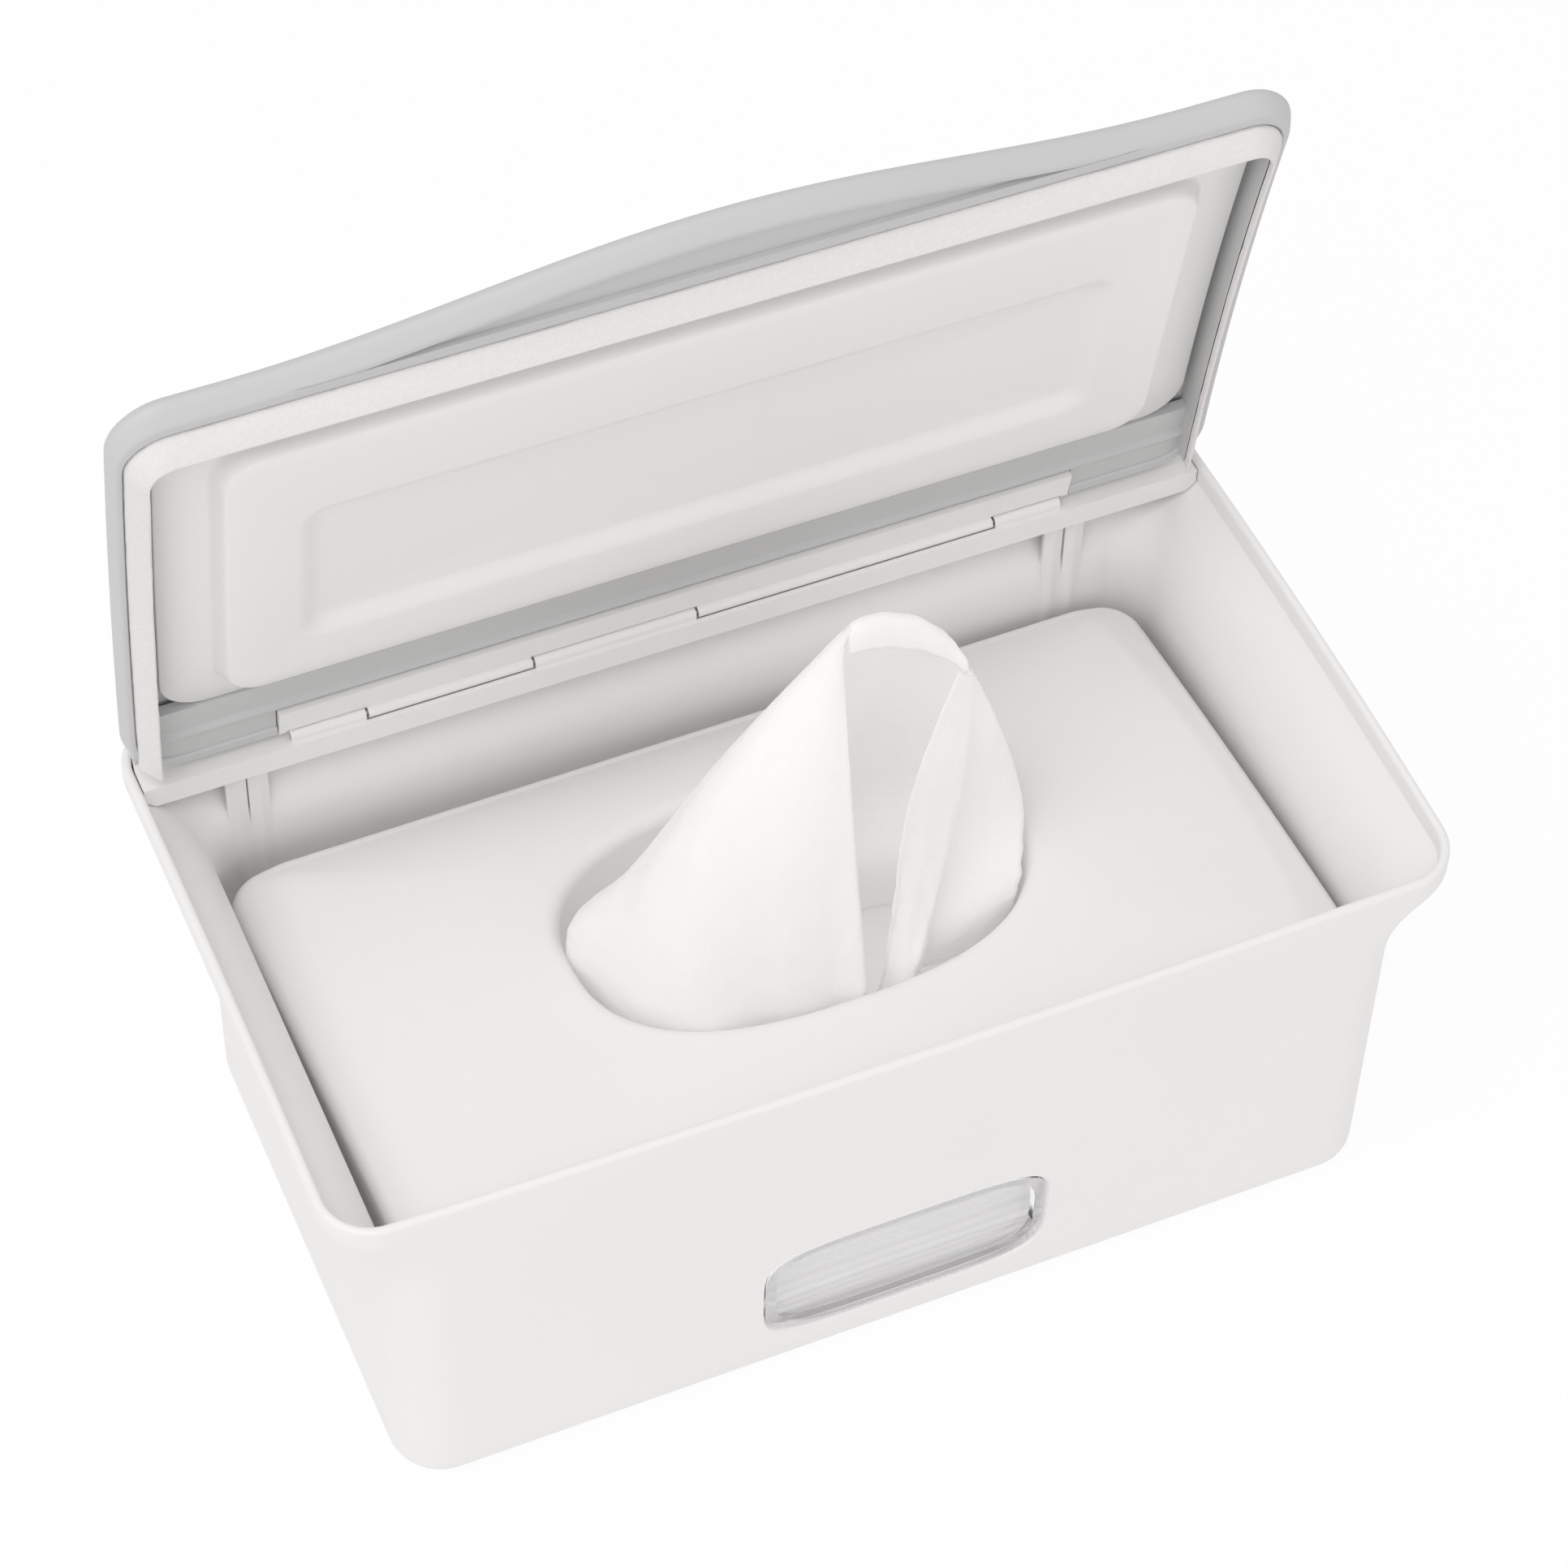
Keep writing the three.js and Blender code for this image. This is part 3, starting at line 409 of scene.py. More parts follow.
def shell_object(name, rings, closed=False):
    """A closed mesh through the rings, with its doubles merged and its faces pointing outwards"""
    mesh = bmesh.new()
    rows = [[mesh.verts.new(point) for point in ring] for ring in rings]
    if closed:
        rows.append(rows[0])
    for low, high in zip(rows, rows[1:]):
        for k in range(len(low)):
            n = (k + 1) % len(low)
            mesh.faces.new((low[k], low[n], high[n], high[k]))
    bmesh.ops.remove_doubles(mesh, verts=mesh.verts, dist=0.002 * MM)
    bmesh.ops.dissolve_degenerate(mesh, edges=mesh.edges, dist=0.001 * MM)
    bmesh.ops.recalc_face_normals(mesh, faces=mesh.faces)
    made = add_object(name, mesh)
    if signed_volume(made.data) < 0:
        made.data.flip_normals()
    return made


def signed_volume(data):
    mesh = bmesh.new()
    mesh.from_mesh(data)
    volume = mesh.calc_volume(signed=True)
    mesh.free()
    return volume


def cut(target, tool, operation="DIFFERENCE"):
    """A boolean with another object, applied, after which the tool is gone"""
    modifier = target.modifiers.new("cut", "BOOLEAN")
    modifier.operation = operation
    modifier.object = tool
    modifier.solver = "EXACT"
    keep_result(target, modifier)
    bpy.data.objects.remove(tool)


def smooth(obj, angle=SHARP_ANGLE):
    obj.data.shade_smooth()
    obj.data.set_sharp_from_angle(angle=angle)


def prism(name, outline, reach):
    """A closed block: a flat outline carried along a vector"""
    mesh = bmesh.new()
    rows = [[mesh.verts.new(point + shift) for point in outline] for shift in (Vector(), reach)]
    count = len(outline)
    for k in range(count):
        n = (k + 1) % count
        mesh.faces.new((rows[0][k], rows[0][n], rows[1][n], rows[1][k]))
    for row in rows:
        mesh.faces.new(row)
    bmesh.ops.recalc_face_normals(mesh, faces=mesh.faces)
    return add_object(name, mesh)


def finish_piece(obj, body, slot, *nodes, look=None):
    """Gives a piece the material of its look, or else of its slot, puts it in its body and hides the imported
    nodes that it stands for
    """
    obj.data.materials.clear()
    obj.data.materials.append(material_for(look or slot))
    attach(obj, body)
    if nodes:
        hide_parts(*nodes)
    return obj


def clamp01(value):
    return min(max(value, 0.0), 1.0)


def rim_arch(y):
    tub = bpy.context.scene.dispenser_tub
    return tub.rim_arch * clamp01(1 - (y / tub.half_depth) ** 2)


def flare_point(t):
    """Point and direction on the flare's outline: reach against height"""
    tub = bpy.context.scene.dispenser_tub
    top = tub.rim_height - tub.lip
    a = Vector((0, tub.flare_start))
    b = Vector((0, tub.flare_start + 16 * MM))
    c = Vector((tub.end_flare, top - 3.6 * MM))
    d = Vector((tub.end_flare, top))
    point = a * (1 - t) ** 3 + b * 3 * t * (1 - t) ** 2 + c * 3 * t * t * (1 - t) + d * t ** 3
    slope = (b - a) * 3 * (1 - t) ** 2 + (c - b) * 6 * t * (1 - t) + (d - c) * 3 * t * t
    return point, slope.normalized()


def tub_ring(z, share, side, front):
    """One ring of the tub's wall; side and front are insets from the outer face"""
    tub = bpy.context.scene.dispenser_tub
    half_x = tub.half_length + share * tub.end_flare - side
    ring = rounded_ring(half_x, front - tub.half_depth, tub.half_depth + share * tub.back_flare - side,
                        tub.corner - side)
    points = []
    for x, y in ring:
        bow = 0
        if y < 0:
            bow = tub.front_bow * clamp01(1 - (x / half_x) ** 2) * z / tub.rim_height * -y / tub.half_depth
        lift = rim_arch(y) * clamp01((z - tub.flare_start) / (tub.rim_height - tub.flare_start))
        points.append(Vector((x, y - bow, z + lift)))
    return points


def wall_rings(inset, base, fillet):
    """Rings from the middle of the floor to the foot of the rim's lip"""
    tub = bpy.context.scene.dispenser_tub
    rings = [pole(0, 0, base)]
    for k in range(9):
        angle = math.pi / 2 * k / 8
        side = inset + fillet * (1 - math.sin(angle))
        rings.append(tub_ring(base + fillet * (1 - math.cos(angle)), 0, side, side))
    straight = tub.flare_start - fillet - base
    for k in range(1, 12):
        rings.append(tub_ring(base + fillet + straight * k / 12, 0, inset, inset))
    for k in range(23):
        point, slope = flare_point(k / 22)
        rings.append(tub_ring(point.y + inset * slope.x, point.x / tub.end_flare, inset * slope.y, inset))
    return rings


def window_ring(grow, y, power=4.6):
    """One turn around the window's outline in the wall, at depth y"""
    tub = bpy.context.scene.dispenser_tub
    a, b = tub.window_width / 2 + grow, tub.window_height / 2 + grow
    centre = tub.window_foot + tub.window_height / 2
    points = []
    for k in range(160):
        c, s = math.cos(math.tau * k / 160), math.sin(math.tau * k / 160)
        x = a * math.copysign(abs(c) ** (2 / power), c)
        z = b * math.copysign(abs(s) ** (2 / power), s)
        points.append(Vector((x, y, centre + z)))
    return points


def window_centre(y):
    tub = bpy.context.scene.dispenser_tub
    return [Vector((0, y, tub.window_foot + tub.window_height / 2))] * 160


# Guide ribs on the inside of the back wall: their places along X in millimetres, and their section
GUIDE_RIBS = (-100.4, -95.6, 87.1, 92.1)
RIB_HALF = 2.2 * MM
RIB_PROUD = 0.42 * MM
RIB_FOOT = 30 * MM
RIB_LENGTH = 59 * MM


class DISPENSER_OT_tub(bpy.types.Operator):
    """Builds the tub with its flared rim, guide ribs and window opening"""
    bl_idname = "dispenser.tub"
    bl_label = "Tub"

    def execute(self, context):
        tub = context.scene.dispenser_tub
        rings = wall_rings(0, 0, tub.fillet)
        for k in range(5):
            angle = math.pi / 2 * k / 4
            drop = tub.rim_round * (1 - math.sin(angle))
            inset = tub.rim_round * (1 - math.cos(angle))
            rings.append(tub_ring(tub.rim_height - drop, 1, inset, inset))
        for k in range(5):
            angle = math.pi / 2 * k / 4
            drop = tub.rim_round * (1 - math.cos(angle))
            inset = tub.wall - tub.rim_round * (1 - math.sin(angle))
            rings.append(tub_ring(tub.rim_height - drop, 1, inset, inset))
        rings += reversed(wall_rings(tub.wall, tub.floor, tub.fillet - tub.wall))
        body = shell_object("tub_body", rings)
        face = -tub.half_depth
        steps = [(2.2, -4), (0.5, -0.5), (0.25, -0.1), (0, 0.35), (0, 4)]
        rings = [window_centre(face - 4 * MM)]
        rings += [window_ring(grow * MM, face + y * MM) for grow, y in steps]
        rings.append(window_centre(face + 4 * MM))
        cut(body, shell_object("window_tool", rings))
        for centre in GUIDE_RIBS:
            cut(body, self.guide_rib(centre * MM, tub.half_depth - tub.wall), "UNION")
        smooth(body)
        finish_piece(body, "base", "white_plastic", "tub")
        return {"FINISHED"}

    def guide_rib(self, centre, face):
        """Low rounded rib on the inside of the back wall"""
        buried = face + 1 * MM
        outline = [Vector((centre + side * RIB_HALF, buried, RIB_FOOT)) for side in (1, -1)]
        for k in range(13):
            share = 2 * k / 12 - 1
            proud = RIB_PROUD * (1 + math.cos(math.pi * share)) / 2
            outline.append(Vector((centre + RIB_HALF * share, face - proud, RIB_FOOT)))
        return prism("rib_tool", outline, Vector((0, 0, RIB_LENGTH)))


class DISPENSER_OT_window(bpy.types.Operator):
    """Builds the clear dished pane in the front wall"""
    bl_idname = "dispenser.window"
    bl_label = "Window pane"

    def execute(self, context):
        face = -context.scene.dispenser_tub.half_depth
        steps = [(-0.3, 3.0), (-0.3, 0.3), (-0.5, 0.08), (-0.8, 0), (-2.3, 0), (-2.7, 0.15), (-3.2, 1.4),
                 (-3.7, 1.6)]
        rings = [window_centre(face + 3.0 * MM)]
        rings += [window_ring(grow * MM, face + y * MM) for grow, y in steps]
        rings.append(window_centre(face + 1.6 * MM))
        pane = shell_object("window_clear", rings)
        smooth(pane)
        finish_piece(pane, "base", "clear_plastic", "window_pane")
        return {"FINISHED"}


# The lid is shaped closed, with the hinge line at the origin, and then turned open

def lid_place():
    lid = bpy.context.scene.dispenser_lid
    return Matrix.Translation((0, lid.hinge_y, lid.hinge_z)) @ Matrix.Rotation(-lid.open_angle, 4, "X")


def bulge_at(x):
    lid = bpy.context.scene.dispenser_lid
    if abs(x) >= lid.bulge_half:
        return 0.0
    return lid.bulge * (1 + math.cos(math.pi * x / lid.bulge_half)) / 2


def lid_half():
    tub = bpy.context.scene.dispenser_tub
    return tub.half_length + tub.end_flare


def lid_ring(z, side, front, back=None, swell=1.0, arch=1.0):
    """One ring of the lid; side, front and back are insets from its widest outline"""
    lid = bpy.context.scene.dispenser_lid
    back = side if back is None else back
    low, high = front - lid.depth, -lid.back - back
    middle = (low + high) / 2
    points = []
    for x, y in rounded_ring(lid_half() - side, low, high, lid.corner - side):
        share = clamp01((y - middle) / (low - middle))
        points.append(Vector((x, y - swell * bulge_at(x) * share ** 4, z + arch * rim_arch(lid.hinge_y + y))))
    return points


def place_on_lid(obj):
    obj.data.transform(lid_place())
    return obj


class DISPENSER_OT_lid(bpy.types.Operator):
    """Builds the lid's grey outer shell with its swollen front edge and finger scoop"""
    bl_idname = "dispenser.lid"
    bl_label = "Lid shell"

    def execute(self, context):
        lid = context.scene.dispenser_lid
        middle = -lid.depth / 2
        ceiling = lid.edge
        inner = {"swell": 0.0}
        rings = [pole(0, middle, lid.crown - 0.2 * MM)]
        rings += [lid_ring(ceiling + 1.6 * MM, lid.skirt + 30 * MM, lid.front_skirt + 30 * MM, **inner)]
        rings += [lid_ring(ceiling + 0.5 * MM, lid.skirt + 6 * MM, lid.front_skirt + 6 * MM, **inner)]
        rings += [lid_ring(ceiling, lid.skirt + 0.8 * MM, lid.front_skirt + 0.8 * MM, **inner)]
        rings += [lid_ring(ceiling - 0.8 * MM, lid.skirt, lid.front_skirt, **inner)]
        rings += [lid_ring(0.6 * MM, lid.skirt, lid.front_skirt, **inner)]
        rings += [lid_ring(0.3 * MM, lid.skirt - 0.3 * MM, lid.front_skirt - 0.3 * MM, **inner)]
        rings += [lid_ring(0.3 * MM, 1.4 * MM, 3.4 * MM, 0)]
        rings += [lid_ring(0.45 * MM, 1.1 * MM, 3.05 * MM, 0)]
        for k in range(1, 7):
            share = k / 6
            under = (1 - share) ** 1.5
            height = 0.5 * MM + (lid.edge - 0.5 * MM) * share
            rings.append(lid_ring(height, 1.05 * MM * under, 3.0 * MM * under, 0))
        turn = 2.6 * MM
        for k in range(1, 9):
            angle = math.pi / 2 * k / 8
            inset = turn * (1 - math.cos(angle))
            rings.append(lid_ring(lid.edge + turn * math.sin(angle), inset, inset))
        rise = lid.crown - lid.edge - turn
        for k in range(1, 15):
            share = k / 14
            inset = turn + (58 * MM - turn) * share
            swell = (1 - share) ** 1.5
            rings.append(lid_ring(lid.edge + turn + rise * (1 - (1 - share) ** 2), inset, inset, swell=swell))
        rings.append(pole(0, middle, lid.crown + 2 * MM))
        shell = shell_object("lid_cover", rings)
        edge = lid.seal_thick + 0.3 * MM
        deep = lid.edge + 0.5 * MM
        section = [(-0.8 * MM, deep), (-0.8 * MM, edge - lid.seal_edge), (0.3 * MM, edge - lid.seal_edge),
                   (lid.seal_width, edge - lid.seal_drop), (lid.seal_width, deep)]
        cut(shell, channel_object("seal_rib", section, -lid.seal_back), "UNION")
        cut(shell, self.hinge_shelf(lid), "UNION")
        cut(shell, self.scoop(lid))
        cut(shell, self.hinge_gap())
        place_on_lid(shell)
        smooth(shell)
        finish_piece(shell, "lid", "grey_plastic", "lid_shell")
        return {"FINISHED"}

    def scoop(self, lid):
        """Lens-shaped recess under the swollen edge"""
        inner = -(lid.depth - 2.7 * MM)
        half = 88 * MM
        outline = [Vector((half, inner, -1 * MM)), Vector((-half, inner, -1 * MM))]
        for k in range(1, 60):
            x = half * (2 * k / 60 - 1)
            outline.append(Vector((x, inner - max(bulge_at(x) - 1.6 * MM, 0.15 * MM), -1 * MM)))
        return prism("scoop_tool", outline, Vector((0, 0, 2.6 * MM)))

    def hinge_gap(self):
        """Space in the back skirt for the hinge strip"""
        corners = [(-8.9, -2), (1.1, -2), (1.1, 2.6), (-8.9, 2.6)]
        outline = [Vector((-90.2 * MM, y * MM, z * MM)) for y, z in corners]
        return prism("hinge_tool", outline, Vector((180.4 * MM, 0, 0)))

    def hinge_shelf(self, lid):
        """Shelf beside the hinge inside the lid, with a rounded stiffening ridge"""
        half = lid_half() - lid.skirt - lid.seal_width / 2
        profile = [(-19.7, 4.3), (-19.7, 1.9), (-12.2, 1.9), (-11.7, 1.75), (-11.3, 1.35), (-10.9, 1.05),
                   (-10.4, 0.95), (-9.9, 1.05), (-9.5, 1.35), (-9.2, 1.6), (-8.6, 1.7), (-2.2, 1.1), (-2.2, 4.3)]
        outline = [Vector((-half, y * MM, z * MM)) for y, z in profile]
        return prism("shelf_tool", outline, Vector((2 * half, 0, 0)))


def channel_object(name, section, end, rough=0.0):
    """A U-shaped body around the sides and the front of the lid, open at the hinge.

    Each step of its section has an inset from the skirt's inner face and a height.
    """
    lid = bpy.context.scene.dispenser_lid
    mesh = bmesh.new()
    rows = []
    for number, (inset, z) in enumerate(section):
        half = lid_half() - lid.skirt - inset * lid.seal_side
        front = lid.front_skirt + inset - lid.depth
        radius = max(lid.corner - lid.skirt - inset * lid.seal_side, 1.5 * MM)
        path = [Vector((-half, end + (front + radius - end) * k / 40)) for k in range(40)]
        for side, start in ((-1, math.pi), (1, 1.5 * math.pi)):
            centre = Vector((side * (half - radius), front + radius))
            path += [centre + radius * Vector((math.cos(start + math.pi / 2 * k / 16),
                                               math.sin(start + math.pi / 2 * k / 16))) for k in range(17)]
            if side < 0:
                path += [Vector(((half - radius) * (2 * k / 90 - 1), front)) for k in range(1, 90)]
        path += [Vector((half, end + (front + radius - end) * k / 40)) for k in reversed(range(40))]
        row = []
        for x, y in path:
            ragged = rough * noise.noise(Vector((x, y, 0)) / (1.7 * MM) + Vector((0, 0, 5.3 * number)))
            row.append(mesh.verts.new((x + ragged, y + ragged, z + rim_arch(lid.hinge_y + y))))
        rows.append(row)
    for low, high in zip(rows, rows[1:] + rows[:1]):
        for k in range(len(low) - 1):
            mesh.faces.new((low[k], low[k + 1], high[k + 1], high[k]))
    for k in (0, -1):
        mesh.faces.new([row[k] for row in rows])
    bmesh.ops.recalc_face_normals(mesh, faces=mesh.faces)
    return add_object(name, mesh)


class DISPENSER_OT_seal(bpy.types.Operator):
    """Builds the soft seal around the sides and the front of the lid"""
    bl_idname = "dispenser.seal"
    bl_label = "Seal"

    def execute(self, context):
        lid = context.scene.dispenser_lid
        width = lid.seal_width
        section = [(0.3 * MM, lid.seal_thick - lid.seal_edge), (0.3 * MM, 0.5 * MM - lid.seal_edge),
                   (0.6 * MM, 0.1 * MM - lid.seal_edge), (1.1 * MM, -0.45 * MM - lid.seal_edge),
                   (width - 1.1 * MM, 0.3 * MM - lid.seal_drop), (width - 0.5 * MM, -lid.seal_drop),
                   (width - 0.1 * MM, 0.15 * MM - lid.seal_drop), (width, 0.5 * MM - lid.seal_drop),
                   (width, lid.seal_thick - lid.seal_drop)]
        seal = channel_object("lid_seal", section, -lid.seal_back, rough=0.12 * MM)
        place_on_lid(seal)
        smooth(seal)
        finish_piece(seal, "lid", "seal_rubber", "lid_gasket")
        return {"FINISHED"}


class DISPENSER_OT_panel(bpy.types.Operator):
    """Builds the white panel inside the lid, with its raised platform and shallow recess"""
    bl_idname = "dispenser.panel"
    bl_label = "Lid panel"

    def execute(self, context):
        lid = context.scene.dispenser_lid
        skin = 1.5 * MM
        low = -lid.platform_drop
        floor = low + 2.4 * MM
        level = lid.panel_level
        top = lid.edge - 0.3 * MM
        platform = (103 * MM, 110.5 * MM, 26.5 * MM, 9 * MM)
        recess = (86.5 * MM, 87.5 * MM, 41 * MM, 6 * MM)
        centre = -(recess[1] + recess[2]) / 2

        def field(area, inset, z):
            half, front, back, corner = area
            ring = rounded_ring(half - inset, inset - front, -back - inset, corner - inset)
            return [Vector((x, y, z)) for x, y in ring]

        def outline(inset, z):
            half = lid_half() - lid.skirt - lid.seal_width * lid.seal_side - 2 * MM
            front = lid.front_skirt + lid.seal_width + 0.6 * MM - lid.depth
            ring = rounded_ring(half - inset, front + inset, -20 * MM - inset, lid.corner - lid.skirt)
            return [Vector((x, y, z + rim_arch(lid.hinge_y + y))) for x, y in ring]

        def ramp(area, from_inset, to_inset, from_z, to_z):
            """A soft S from one level to the next"""
            rings = []
            for k in range(9):
                share = k / 8
                ease = share * share * (3 - 2 * share)
                inset = from_inset + (to_inset - from_inset) * share
                rings.append(field(area, inset, from_z + (to_z - from_z) * ease))
            return rings

        rings = [pole(0, centre, floor)]
        rings += ramp(recess, 5.2 * MM, -0.6 * MM, floor, low)
        rings += [field(platform, 5 * MM, low)]
        rings += ramp(platform, 2 * MM, -1.2 * MM, low, level)
        rings += [outline(0.3 * MM, level), outline(0, level + 0.3 * MM), outline(0, top)]
        rings += [outline(skin, top), outline(skin, level + skin)]
        rings += [field(platform, skin, level + skin), field(platform, skin, low + skin)]
        rings += [field(recess, -skin, low + skin), field(recess, 3.5 * MM, floor + skin)]
        rings += [pole(0, centre, floor + skin)]
        panel = shell_object("lid_panel", rings)
        place_on_lid(panel)
        smooth(panel)
        finish_piece(panel, "lid", "white_plastic", "lid_inner_panel")
        return {"FINISHED"}


class DISPENSER_OT_hinge(bpy.types.Operator):
    """Gives the rail, the pin, the hinge strip and the ballast bars their finish"""
    bl_idname = "dispenser.hinge"
    bl_label = "Hinge and bars"

    def execute(self, context):
        slots = {"hinge_rail": "white_plastic", "hinge_strip": "white_plastic", "hinge_pin": "steel",
                 "ballast_bar_left": "steel", "ballast_bar_right": "steel"}
        for node, slot in slots.items():
            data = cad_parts[node].data
            data.materials.clear()
            data.materials.append(material_for(slot))
        return {"FINISHED"}


# The plate is shaped level and then laid on the stack

def plate_place():
    plate = bpy.context.scene.dispenser_plate
    tilt = Matrix.Rotation(-plate.pitch, 4, "X") @ Matrix.Rotation(plate.roll, 4, "Y")
    return Matrix.Translation((0, 0, plate.level)) @ Matrix.Rotation(plate.yaw, 4, "Z") @ tilt


def plate_ring(share, z, edge_inset=0.0, oval_inset=0.0):
    """One ring of the plate, from its rectangular edge at share 0 to the oval at share 1"""
    plate = bpy.context.scene.dispenser_plate
    half_x, half_y = plate.length / 2 - edge_inset, plate.depth / 2 - edge_inset
    a, b = plate.oval_length / 2 - oval_inset, plate.oval_depth / 2 - oval_inset
    power = 2.5
    points = []
    for x, y in rounded_ring(half_x, -half_y, half_y, plate.corner - edge_inset):
        reach = (abs(x / a) ** power + abs(y / b) ** power) ** (-1 / power)
        point = Vector((x, y)).lerp(Vector((x * reach, y * reach)), share)
        crease = 99.6 * MM - 6.5 * MM * (point.y / (57 * MM)) ** 2
        bend = 0.22 * max(abs(point.x) - crease, 0)
        points.append(Vector((point.x, point.y, z - bend)))
    return points


class DISPENSER_OT_plate(bpy.types.Operator):
    """Builds the crowned plate with its turned-down skirt and oval collar"""
    bl_idname = "dispenser.plate"
    bl_label = "Plate"

    def execute(self, context):
        plate = context.scene.dispenser_plate
        foot = -plate.drop
        turn = 3 * MM
        rings = [plate_ring(0, foot), plate_ring(0, foot / 2)]
        for k in range(9):
            angle = math.pi / 2 * k / 8
            rings.append(plate_ring(0, -turn * (1 - math.sin(angle)), turn * (1 - math.cos(angle))))
        shares = [k / 48 for k in range(1, 49)]
        lip = 3.5 * MM

        def crown_at(share):
            return plate.crown * (1 - (1 - share) ** 2)

        rings += [plate_ring(share, crown_at(share), turn) for share in shares]
        for k in range(1, 10):
            angle = math.pi / 2 * k / 9
            rings.append(plate_ring(1, plate.crown - lip * (1 - math.cos(angle)), 0, lip * math.sin(angle)))
        rings += [plate_ring(1, foot + 4 * MM, 0, 4.4 * MM), plate_ring(1, foot, 0, 4.6 * MM)]
        rings += [plate_ring(1, foot, 0, 2.6 * MM), plate_ring(1, plate.crown - 5 * MM, 0, 1.6 * MM)]
        rings += [plate_ring(share, crown_at(share) - plate.skin, turn) for share in reversed(shares)]
        rings += [plate_ring(0, -plate.skin, turn), plate_ring(0, -turn, plate.skin)]
        rings.append(plate_ring(0, foot, plate.skin))
        made = shell_object("oval_plate", rings, closed=True)
        made.data.transform(plate_place())
        smooth(made, math.radians(50))
        finish_piece(made, "base", "white_plastic", "dispensing_plate", "plate_collar")
        return {"FINISHED"}


# The stack is made of folded sheets, laid one on another by geometry nodes

def sheet_pile(count, thickness, material):
    """Node group that lays copies of a folded sheet on each other with small seeded shifts"""
    group = bpy.data.node_groups.new("pile of folded sheets", "GeometryNodeTree")
    face = group.interface
    face.new_socket("Geometry", in_out="INPUT", socket_type="NodeSocketGeometry")
    number = face.new_socket("Sheets", in_out="INPUT", socket_type="NodeSocketInt")
    pitch = face.new_socket("Pitch", in_out="INPUT", socket_type="NodeSocketFloat")
    face.new_socket("Geometry", in_out="OUTPUT", socket_type="NodeSocketGeometry")
    ends = add_node(group, "NodeGroupInput")
    line = add_node(group, "GeometryNodeMeshLine", {"mode": "OFFSET"}, Count=ends.outputs["Sheets"])
    step = add_node(group, "ShaderNodeCombineXYZ", Z=ends.outputs["Pitch"])
    group.links.new(step.outputs["Vector"], line.inputs["Offset"])
    shift = add_node(group, "FunctionNodeRandomValue", {"data_type": "FLOAT_VECTOR"}, Seed=7)
    shift.inputs["Min"].default_value = (-0.9 * MM, -0.9 * MM, 0)
    shift.inputs["Max"].default_value = (0.9 * MM, 0.9 * MM, 0)
    moved = add_node(group, "GeometryNodeSetPosition", Geometry=line.outputs["Mesh"],
                     Offset=shift.outputs["Value"])
    copies = add_node(group, "GeometryNodeInstanceOnPoints", Points=moved.outputs["Geometry"],
                      Instance=ends.outputs["Geometry"])
    real = add_node(group, "GeometryNodeRealizeInstances", Geometry=copies.outputs["Instances"])
    painted = add_node(group, "GeometryNodeSetMaterial", Geometry=real.outputs["Geometry"], Material=material)
    add_node(group, "NodeGroupOutput", Geometry=painted.outputs["Geometry"])
    return group, {number.identifier: count, pitch.identifier: thickness}


class DISPENSER_OT_stack(bpy.types.Operator):
    """Builds the pile of folded wipes under the plate"""
    bl_idname = "dispenser.stack"
    bl_label = "Stack of wipes"

    def execute(self, context):
        low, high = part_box("wipes_stack")
        plate = context.scene.dispenser_plate
        half_x, half_y = (high.x - low.x) / 2 - 1 * MM, (high.y - low.y) / 2 - 1 * MM
        count = 22
        nominal = plate.level - plate.drop - 0.3 * MM - low.z
        pitch = nominal / count
        cloth = material_for("wipe_cloth")
        profile = [(0.2, -0.48), (0.42, -0.36), (0.5, 0), (0.42, 0.36), (0.2, 0.48)]
        rings = [pole(0, 0, pitch * 0.04)]
        for bulge, height in profile:
            inset = 0.5 * MM - bulge * MM
            ring = rounded_ring(half_x - inset, inset - half_y, half_y - inset, 6 * MM)
            rings.append([Vector((x, y, pitch * (0.5 + height))) for x, y in ring])
        rings.append(pole(0, 0, pitch * 0.96))
        stack = shell_object("folded_wipes", rings)
        stack.data.transform(Matrix.Translation((0, 0, low.z)))
        group, values = sheet_pile(count, pitch, cloth)
        modifier = stack.modifiers.new("pile", "NODES")
        modifier.node_group = group
        for identifier, value in values.items():
            modifier[identifier] = value
        keep_result(stack, modifier)
        self.tilt_top(stack, low.z, nominal)
        flat_uv(stack)
        smooth(stack, math.radians(60))
        finish_piece(stack, "base", "wipe_cloth", "wipes_stack")
        return {"FINISHED"}

    def tilt_top(self, stack, base, nominal):
        """The pile leans with the plate that lies on it and swells forward to the window"""
        plate = bpy.context.scene.dispenser_plate
        place = plate_place()
        for vertex in stack.data.vertices:
            top = (place @ Vector((vertex.co.x, vertex.co.y, -plate.drop - 0.3 * MM))).z - base
            vertex.co.z = base + (vertex.co.z - base) / nominal * top
            if vertex.co.y < 0:
                middle = clamp01((58 * MM - abs(vertex.co.x)) / (20 * MM))
                front = clamp01(-vertex.co.y / (53 * MM)) ** 6
                vertex.co.y -= 4.8 * MM * front * middle * middle * (3 - 2 * middle)


def flat_uv(obj):
    """A map in metres from above, for the cloth's pattern"""
    layer = obj.data.uv_layers.get("cloth") or obj.data.uv_layers.new(name="cloth")
    for loop in obj.data.loops:
        place = obj.data.vertices[loop.vertex_index].co
        layer.data[loop.index].uv = (place.x + place.z, place.y + 0.4 * place.z)
